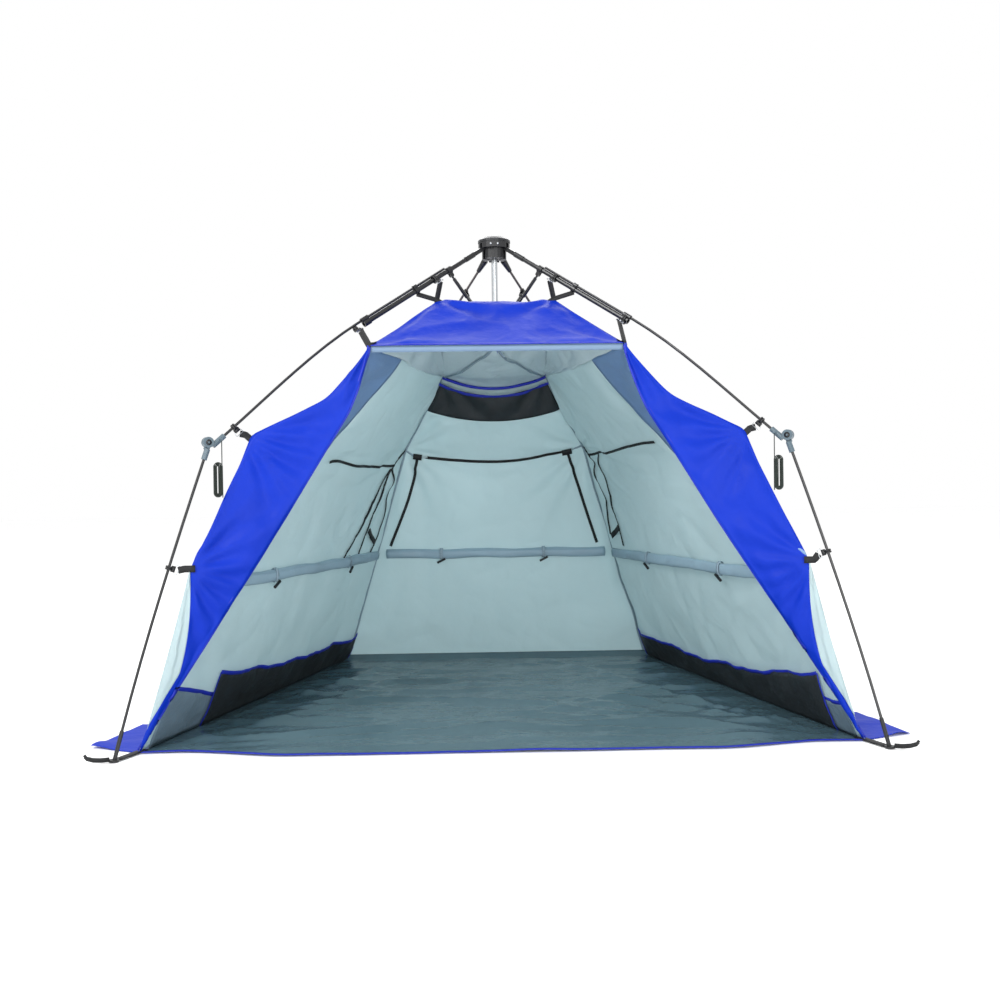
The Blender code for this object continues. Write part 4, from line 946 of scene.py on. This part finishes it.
def clip(name, centre, run, towards, radius, body):
    """Hook moulded round a rod, with a flat steel ring that holds the webbing; returns where the webbing starts."""
    bm = bmesh.new()
    run = run.normalized()
    aim = towards - centre
    aim = (aim - run * aim.dot(run)).normalized()
    for step in (-0.003, 0.003):
        rings(bm, ring_points(centre + run * step, *around(run, radius + 0.0030), 24), 8, 0.0032, closed=True)
    root = centre + aim * (radius + 0.004)
    turn = Matrix((run, aim.cross(run), aim)).transposed().to_4x4()
    box(bm, root + aim * 0.004, (0.018, 0.007, 0.012), turn)
    solid(bm, name + "_hook", BLACK, body)
    bm = bmesh.new()
    eye = root + aim * 0.014
    outline = ((-0.013, -0.003), (-0.011, -0.005), (0.011, -0.005), (0.013, -0.003),
               (0.013, 0.003), (0.011, 0.005), (-0.011, 0.005), (-0.013, 0.003))
    rings(bm, [eye + run * x + aim * y for x, y in outline], 6, 0.0013, closed=True)
    solid(bm, name + "_ring", BRIGHT, body)
    return eye + aim * 0.004


def webbing(name, start, end, across_axis, width=0.020, squash=True, into=None):
    """Flat strap from the cloth to its clip; into is the way it runs on over the cloth it is sewn to."""
    bm = bmesh.new()
    run = (end - start).normalized()
    wide = (across_axis - run * across_axis.dot(run)).normalized()
    normal = run.cross(wide)
    points = [start.lerp(end, k / 6) for k in range(7)]
    if into:
        points = [start + into.normalized() * reach for reach in (0.030, 0.015)] + points
    band(bm, points, width, 0.0022, [normal] * len(points))
    obj = solid(bm, name, WEBBING)
    if squash:
        sink(obj)


def strap(corner, place, centre, run, cloth_corner, radius, body, across_axis, width=0.020, into=None):
    """A clip on a rod and the webbing to it from a corner of the cloth."""
    end = clip(f"{place}_clip_{corner}", centre, run, cloth_corner, radius, body)
    webbing(f"{place}_strap_{corner}", cloth_corner, end, across_axis, width, into=into)


for corner, pole in poles.items():
    side = pole.side
    arm, leg = "arm_" + corner, "leg_" + corner
    if pole.front:
        canopy, ridge, wing_elbow, wing_leg = [mirrored(v, side) for v in (CANOPY, RIDGE, WING_ELBOW, WING_LEG)]
        run = pole.world(direction(pole.slope))
        reach, radius = (0.543, 0.0108) if side > 0 else (0.590, ROD)
        strap(corner, "canopy", pole.on_arm(reach), run, canopy, radius, arm, run.cross(UP), 0.022,
              into=Vector((-side * 0.3, 0.5, 0.2)))
        # This clip hangs a little to the front, clear of the folded strut
        ahead = run.cross(UP).normalized() * side * -1
        aside = ridge + ahead * (0.11 if ahead.y < 0 else -0.11)
        end = clip(f"ridge_clip_{corner}", pole.on_arm(0.243), run, aside, TUBE, arm)
        webbing(f"ridge_strap_{corner}", ridge, end, run, into=-UP)
        end = pole.on_arm(0.325) - UP * 0.011
        start = ridge + Vector((0, -0.004, 0))
        webbing(f"collar_strap_{corner}", start, end, run, 0.016, into=Vector((-side, -0.2, -0.6)))
        run = pole.world(direction(pole.elbow_slope))
        strap(corner, "elbow", pole.socket(0.090), run, wing_elbow, ROD, arm, run, into=Vector((-side, 0, -0.9)))
        spot = rod_point("leg_rod_" + corner, 0.530 if side < 0 else 0.550)
        low = rod_point("leg_rod_" + corner, 0.40)
        strap(corner, "leg", spot, spot - low, wing_leg, ROD, leg, UP, into=Vector((-side, 0, 0)))
    else:
        kink, window = mirrored(KINK, side), mirrored(WINDOW, side)
        spot = rod_point("arm_rod_" + corner, 1.17)
        run = rod_point("arm_rod_" + corner, 1.08) - spot
        strap(corner, "kink", spot, run, kink, ROD, arm, run)
        run = pole.world(direction(pole.elbow_slope))
        strap(corner, "elbow", pole.socket(0.090), run, window, ROD, arm, run)
    foot = pole.world(pole.foot)
    hem = WALL_FRONT if pole.front else WALL_REAR
    floor_corner = Vector((hem.x * side, hem.y, 0))
    pull = (foot - floor_corner).normalized()
    lift = UP * 0.0030
    start, end = floor_corner - pull * 0.03 + lift, foot - pull * 0.013 + lift
    webbing(f"floor_strap_{corner}", start, end, pull.cross(UP), 0.025, squash=False)
    # The doubled end of the foot's webbing
    if pole.front:
        bm = bmesh.new()
        start = foot + Vector((0, -0.012, 0.004))
        for reach, drop in ((0.006, 0.0), (0.0, 0.004)):
            points = [start + Vector((side * x, -x * 0.2 + drop, z + reach)) for x, z in
                      ((0.008, 0.002), (0.030, 0.001), (0.050, 0.003), (0.066, 0.008), (0.072, 0.016))]
            rings(bm, points, 8, 0.0042)
        solid(bm, f"strap_end_{corner}", WEBBING)
    # The knuckle's dark insert, a disc on each side
    knuckle = pole.world(pole.elbow)
    axis = pole.world(Vector((0, 1, 0)))
    bm = bmesh.new()
    for way in (-1, 1):
        disc(bm, knuckle + axis * way * 0.0108, axis, 0.0085, 0.0012)
    solid(bm, f"elbow_insert_{corner}", BLACK, arm)


# Rivets of the hub
bm = bmesh.new()
for x in (-0.012, 0.012):
    disc(bm, Vector((x, -0.0535, 1.585)), Vector((0, 1, 0)), 0.0032, 0.0030)
solid(bm, "hub_rivets", DOT)


# Hank: loops and points of each, radius of the innermost turn, distance between turns, half height, in metres
LOOPS, STEPS, INNER, PITCH, HALF_HANK = 6, 24, 0.0022, 0.0037, 0.052


def hank_path(top, across_way):
    """One unbroken path of long loops: in through one layer and out again through the next."""
    straight, outer = 0.040 - INNER, INNER + PITCH * LOOPS / 2
    middle = top - UP * HALF_HANK

    def at(width, layer, height):
        return middle + Vector((outer - width, across_way * PITCH * layer, height))

    points = [at(outer, 0, HALF_HANK), at(outer, 0, straight)]
    for step in range(LOOPS * STEPS):
        turns = (step + 0.5) / STEPS
        angle = math.pi + 2 * math.pi * turns
        width = INNER + PITCH * abs(LOOPS / 2 - turns)
        layer = min(max((turns - LOOPS / 2) * 2 + 0.5, 0), 1)
        high = math.sin(angle)
        points.append(at(-width * math.cos(angle), layer, width * high + math.copysign(straight, high)))
    return points + [at(outer, 1, -straight), at(outer, 1, -HALF_HANK)]


for corner in ("front_left", "front_right"):
    pole = poles[corner]
    eye = pole.socket_line - direction(pole.elbow_slope) * 0.032
    top = eye + Vector((0, -pole.side * 0.018, -0.0035 - 0.0003))
    low = top - UP * 0.062
    line = [top.lerp(low, k / 18) for k in range(19)]
    hank = hank_path(low - UP * 0.0003, -pole.side)
    for kind, points, start in (("guy_line_", line, line[0]), ("guy_hank_", hank, hank[0])):
        world = [pole.world(p) for p in points]

# Camera at the photograph's viewpoint
camera = linked("camera", bpy.data.cameras.new("camera"))
camera.data.lens = 36.0
camera.data.sensor_width = 36.0
camera.data.clip_end = 100.0
camera.location = (-0.045, -3.48, 0.736)
turn = Matrix.Rotation(math.radians(-0.88), 4, "Z") @ Matrix.Rotation(math.radians(90 - 0.49), 4, "X")
camera.rotation_euler = (turn @ Matrix.Rotation(math.radians(-0.79), 4, "Z")).to_euler()
bpy.context.scene.camera = camera

# Plain pale floor and soft studio light
bm = bmesh.new()
bmesh.ops.create_grid(bm, x_segments=1, y_segments=1, size=30)
ground = linked("studio_floor", from_bmesh(bm, "studio_floor"))
ground.location.z = -0.002
ground.data.materials.append(material("studio_white", "#FFFFFF", 0.9))
for name, place, target, size, power in (
    ("key", (-3.0, -4.5, 4.5), (0, 0, 0.8), 2.5, 230),
    ("fill", (1.5, -5.5, 1.2), (0, 0.5, 0.5), 3.0, 120),
    ("rear", (0, 4.0, 5.0), (0, 0, 0.6), 4.0, 200),
):
    data = bpy.data.lights.new(name, "AREA")
    data.size = size
    data.energy = power
    lamp = linked(name, data)
    lamp.location = place
    lamp.rotation_euler = (Vector(target) - Vector(place)).to_track_quat("-Z", "Y").to_euler()
world = bpy.data.worlds.new("studio")
world.use_nodes = True
world.node_tree.nodes["Background"].inputs["Color"].default_value = (1, 1, 1, 1)
world.node_tree.nodes["Background"].inputs["Strength"].default_value = 1.0
bpy.context.scene.world = world
bpy.context.scene.view_settings.view_transform = "Standard"
